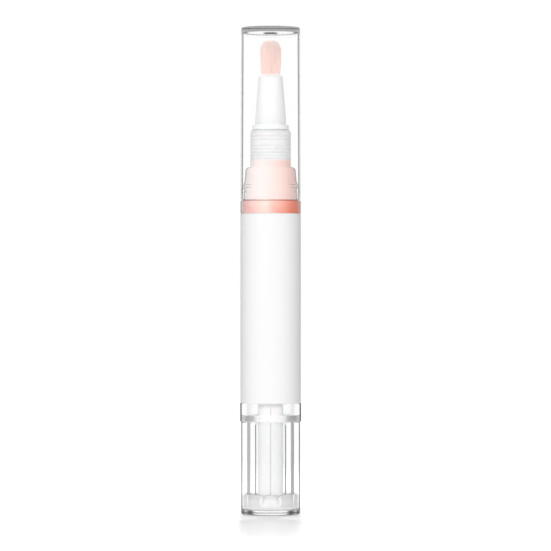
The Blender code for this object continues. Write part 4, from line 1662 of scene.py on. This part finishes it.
@dataclass
class Drive(SubAssembly):
    """Nut, lead screw and the white stem that turns it."""

    title = "drive"
    stem_r: float = 3.64
    stem_foot_r: float = 3.98
    stem_foot_z: float = 4.2
    stem_low: float = 1.55
    stem_top: float = 38.6
    stem_floor: float = 6.1
    bore_r: float = 2.45
    nut_r: float = 6.6
    nut_low: float = 36.15
    nut_top: float = 43.2
    guide_z: float = 39.9
    skirt_r: float = 5.6
    skirt_bore_r: float = 3.85
    skirt_bore_z: float = 39.0
    skirt_z: float = 31.9
    screw_low: float = 6.5
    thread_top: float = 43.6
    head_low: float = 45.4
    screw_top: float = 47.4
    shank_r: float = 1.3
    root_r: float = 1.6
    crest_r: float = 2.2
    ridge_sunk: float = 0.15
    ridge_margin: float = 0.8
    flat_half: float = 1.35
    lead: float = 3.0

    def stem(self) -> Corners:
        """Draws the stem with its press foot and bore.

        Returns:
            The outline's corners.
        """
        return (
            (self.stem_r, self.stem_top, 0.15),
            (self.stem_r, self.stem_foot_z + 0.25, 0.1),
            (self.stem_foot_r, self.stem_foot_z, 0.1),
            (self.stem_foot_r, self.stem_low, 0.15),
            (0.0, self.stem_low),
            (0.0, self.stem_floor),
            (self.bore_r, self.stem_floor, 0.1),
            (self.bore_r, self.stem_top, 0.1),
        )

    def nut(self) -> Corners:
        """Draws the nut with its skirt and guide bore.

        Returns:
            The outline's corners.
        """
        return (
            (self.nut_r, self.nut_top, 0.3),
            (self.nut_r, self.nut_low, 0.1),
            (self.skirt_r, self.nut_low, 0.1),
            (self.skirt_r, self.skirt_z, 0.2),
            (self.skirt_bore_r, self.skirt_z, 0.2),
            (self.skirt_bore_r, self.skirt_bore_z, 0.1),
            (self.bore_r, self.guide_z, 0.1),
            (self.bore_r, self.nut_top, 0.2),
        )

    def rod(self) -> bpy.types.Mesh:
        """Winds the thread on the rod and cuts the two flats.

        Returns:
            The screw's mesh.
        """
        corners = (
            (0.0, self.screw_top),
            (self.crest_r, self.screw_top, 0.3),
            (self.crest_r, self.head_low, 0.1),
            (self.shank_r, self.head_low, 0.1),
            (self.shank_r, self.thread_top, 0.1),
            (self.root_r, self.thread_top, 0.1),
            (self.root_r, self.screw_low, 0.1),
            (0.0, self.screw_low),
        )
        height = self.thread_top - self.screw_low - 2 * self.ridge_margin
        rod = thread_round_rod().grow(
            "lead_rod",
            turned("rod_seed", corners, 48),
            WHITE,
            Turns=height / self.lead,
            Radius=(self.root_r + self.ridge_sunk) * MM,
            Height=height * MM,
            Foot=(self.screw_low + self.ridge_margin) * MM,
        )
        flat = self.flat_half * MM
        for vertex in rod.vertices:
            if vertex.co.z < (self.thread_top + 1.0) * MM:
                vertex.co.y = min(max(vertex.co.y, -flat), flat)
        return rod

    def build(self) -> None:
        """Builds the stem, the nut and the screw."""
        stem = turned("drive_stem", self.stem(), COARSE_SEGMENTS)
        nut = turned("drive_nut_body", self.nut(), COARSE_SEGMENTS)
        self.piece(stem, Body.KNOB, STEM_WHITE, "drive_tube")
        self.piece(nut, Body.BARREL, WHITE, "drive_nut")
        self.piece(self.rod(), Body.SCREW, WHITE, "lead_screw")


@dataclass
class Knob(SubAssembly):
    """Clear twist knob with its frosted ratchet ring."""

    title = "knob"
    r: float = 8.45
    top_z: float = 26.3
    foot_z: float = 0.04
    floor: float = 1.4
    bore_r: float = 7.96
    boss_r: float = 4.46
    boss_bore_r: float = 4.06
    boss_z: float = 25.6
    ring_low: float = 1.55
    ring_floor: float = 2.7
    ring_r: float = 7.8
    collar_r: float = 5.3
    collar_bore_r: float = 4.62
    collar_z: float = 4.4
    tab_top: float = 5.8
    tab_inner: float = 6.95
    tab_half_deg: float = 17.6
    tab_edge_deg: float = 1.8
    tab_sharp_deg: float = 60.0
    tab_root: float = 0.4
    tab_curl: float = 0.75
    tab_count: int = 10

    def cup(self) -> Corners:
        """Draws the cup with its centre boss.

        Returns:
            The outline's corners.
        """
        return (
            (0.0, self.floor),
            (self.boss_bore_r, self.floor, 0.12),
            (self.boss_bore_r, self.boss_z, 0.08),
            (self.boss_r, self.boss_z, 0.08),
            (self.boss_r, self.floor, 0.25),
            (self.bore_r, self.floor, 0.3),
            (self.bore_r, self.top_z, 0.08),
            (self.r, self.top_z, 0.12),
            (self.r, self.tab_top),
            (self.r, self.floor),
            (self.r, self.foot_z, 0.28),
            (0.0, self.foot_z),
        )

    def bands(self) -> list[Band]:
        """Marks the bore, the thick foot, the boss and the belt round the tabs.

        Returns:
            The bands, with a little room on each side.
        """
        return [
            Band(CLEAR_INNER, self.floor + 0.2, self.top_z, outer=self.bore_r + 0.02),
            Band(CLEAR_LENS, self.foot_z + 0.01, self.floor - 0.05, self.bore_r),
            Band(BOSS_OUTER, self.floor + 0.3, self.boss_z, self.boss_r - 0.1, self.boss_r + 0.1),
            Band(KNOB_BELT, self.floor + 0.1, self.tab_top, self.r - 0.05),
        ]

    def ring(self) -> Corners:
        """Draws the ratchet ring's floor and inner collar.

        Returns:
            The outline's corners.
        """
        return (
            (self.collar_r, self.collar_z, 0.12),
            (self.collar_r, self.ring_floor, 0.2),
            (self.ring_r, self.ring_floor, 0.15),
            (self.ring_r, self.ring_low, 0.12),
            (self.collar_bore_r, self.ring_low, 0.1),
            (self.collar_bore_r, self.collar_z, 0.12),
        )

    def build(self) -> None:
        """Builds the cup, the ring and the rounded tabs round it, whose sides carry a painted highlight."""
        low, half_pitch = self.ring_floor - self.tab_root, math.pi / self.tab_count
        tab = Tab(self.tab_inner, self.ring_r, low, self.tab_top, self.tab_half_deg, self.tab_curl)
        seed = mesh_of("tab_seed", tab.block(), self.tab_sharp_deg)
        seed.transform(Matrix.Rotation(half_pitch, 4, "Z"))
        tabs = copies_round_axis().grow("ratchet_tabs", seed, TAB_FROSTED, Count=self.tab_count)
        sides = Sides(TAB_EDGE_HIGHLIGHT, half_pitch, math.radians(self.tab_half_deg - self.tab_edge_deg))
        cup = turned("knob_cup", self.cup(), FINE_SEGMENTS)
        self.piece(cup, Body.KNOB, KNOB_OUTER, "knob_shell", bands=self.bands())
        self.piece(turned("ratchet_floor", self.ring()), Body.KNOB, FROSTED, "ratchet_ring")
        self.piece(tabs, Body.KNOB, TAB_FROSTED, bands=(sides,))


# Studio


@dataclass(frozen=True)
class Lamp:
    """A soft lamp of the studio."""

    name: str
    place: Triple
    size: float
    power: float

    def build(self, target: Triple) -> None:
        """Hangs the lamp.

        Args:
            target: The point it faces.
        """
        data = bpy.data.lights.new(self.name, "AREA")
        data.shape = "DISK"
        data.size = self.size
        data.energy = self.power
        lamp = bpy.data.objects.new(self.name, data)
        lamp.visible_glossy = False
        lamp.visible_transmission = False
        bpy.context.scene.collection.objects.link(lamp)
        lamp.location = self.place
        lamp.rotation_euler = (Vector(target) - Vector(self.place)).to_track_quat("-Z", "Y").to_euler()


@dataclass
class Studio:
    """White studio with a pale floor, soft light and the camera. Its sizes are in metres."""

    distance: float = 1.0
    height: float = 0.06815
    aside: float = 0.0014
    lens: float = 228.5
    sensor: float = 36.0
    clip: tuple[float, float] = (0.01, 20.0)
    bounces: int = 40
    soft_bounces: int = 12
    ambient: float = 0.26
    target: Triple = (0.0, 0.0, 0.07)
    floor_half: float = 3.0
    floor_tone: Tone = 0.8
    floor_gloss: float = 0.32
    floor_roughness: float = 0.2
    fade: Stops = ((0.012, 0.28), (0.045, 0.405), (0.075, 0.458), (0.1, 0.565), (0.3, 0.6))
    fade_out: tuple[float, float] = (0.12, 0.28)
    far_glow: tuple[float, float] = (0.6, 1.02)
    lamps: tuple[Lamp, ...] = (
        Lamp("key", (-0.09, -0.95, 0.22), 0.4, 7.5),
        Lamp("right", (0.78, -0.05, 0.12), 0.4, 0.6),
        Lamp("left", (-0.78, -0.05, 0.12), 0.4, 0.7),
        Lamp("back", (0.008, 0.7, 0.75), 0.09, 5.6),
    )

    def sky(self) -> None:
        """Makes the even white surroundings."""
        world = bpy.data.worlds.new("studio")
        bpy.context.scene.world = world
        world.use_nodes = True
        nodes = Nodes(world.node_tree)
        back = world.node_tree.nodes["Background"]
        nodes.feed(back.inputs["Strength"], nodes.spread(nodes.seen_rays(), self.ambient, 1.0))
        nodes.feed(back.inputs["Color"], 1.0)

    def floor_material(self) -> bpy.types.Material:
        """Mixes the floor's faint gloss with the glow that runs into the even white far from the pen.

        Returns:
            The floor's material.
        """
        shader = Shader("studio_floor")
        matt = shader.node("ShaderNodeBsdfDiffuse", {"Color": self.floor_tone}).outputs[0]
        sheen = shader.node("ShaderNodeBsdfGlossy", {"Roughness": self.floor_roughness}).outputs[0]
        seen = shader.seen_rays()
        away = shader.node("ShaderNodeVectorMath", {0: shader.place}, operation="LENGTH").outputs["Value"]
        strength = shader.maths("MULTIPLY", seen, shader.ramp(away, self.fade))
        glow = shader.node("ShaderNodeEmission", {"Strength": strength}).outputs[0]
        both = shader.blend(self.floor_gloss, matt, sheen)
        near = shader.node("ShaderNodeAddShader", {0: both, 1: glow}).outputs[0]
        even = shader.node("ShaderNodeEmission", {"Strength": shader.spread(seen, *self.far_glow)}).outputs[0]
        total = shader.blend(shader.spread(away, 0.0, 1.0, *self.fade_out), near, even)
        shader.feed(shader.output.inputs["Surface"], total)
        shader.tree.nodes.remove(shader.surface)
        return shader.material

    def floor(self) -> None:
        """Lays the pale floor."""
        half = self.floor_half
        mesh = bpy.data.meshes.new("floor")
        corners = [(-half, -half, 0.0), (half, -half, 0.0), (half, half, 0.0), (-half, half, 0.0)]
        mesh.from_pydata(corners, [], [(0, 1, 2, 3)])
        mesh.materials.append(self.floor_material())
        made = bpy.data.objects.new("floor", mesh)
        bpy.context.scene.collection.objects.link(made)

    def camera(self) -> None:
        """Sets the camera level with the pen's middle."""
        data = bpy.data.cameras.new("camera")
        data.lens = self.lens
        data.sensor_width = self.sensor
        data.clip_start, data.clip_end = self.clip
        made = bpy.data.objects.new("camera", data)
        bpy.context.scene.collection.objects.link(made)
        made.location = (self.aside, -self.distance, self.height)
        made.rotation_euler = (math.pi / 2, 0.0, 0.0)
        bpy.context.scene.camera = made

    def build(self) -> None:
        """Builds the whole studio."""
        scene = bpy.context.scene
        scene.view_settings.view_transform = "Standard"
        scene.cycles.max_bounces = self.bounces
        scene.cycles.diffuse_bounces = self.soft_bounces
        scene.cycles.transmission_bounces = self.bounces
        scene.cycles.transparent_max_bounces = self.bounces
        self.sky()
        self.floor()
        for lamp in self.lamps:
            lamp.build(self.target)
        self.camera()
        LOG.info("studio: %d lamps, lens %.0f mm", len(self.lamps), self.lens)


def main() -> None:
    """Loads the frame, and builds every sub-assembly in order and the studio."""
    logging.basicConfig(level=logging.INFO, format="%(message)s")
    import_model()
    for part in (Barrel(), Liquid(), Seat(), BrushHead(), Plunger(), Drive(), Knob(), Cap()):
        part.build()
    Studio().build()


if __name__ == "__main__":
    main()
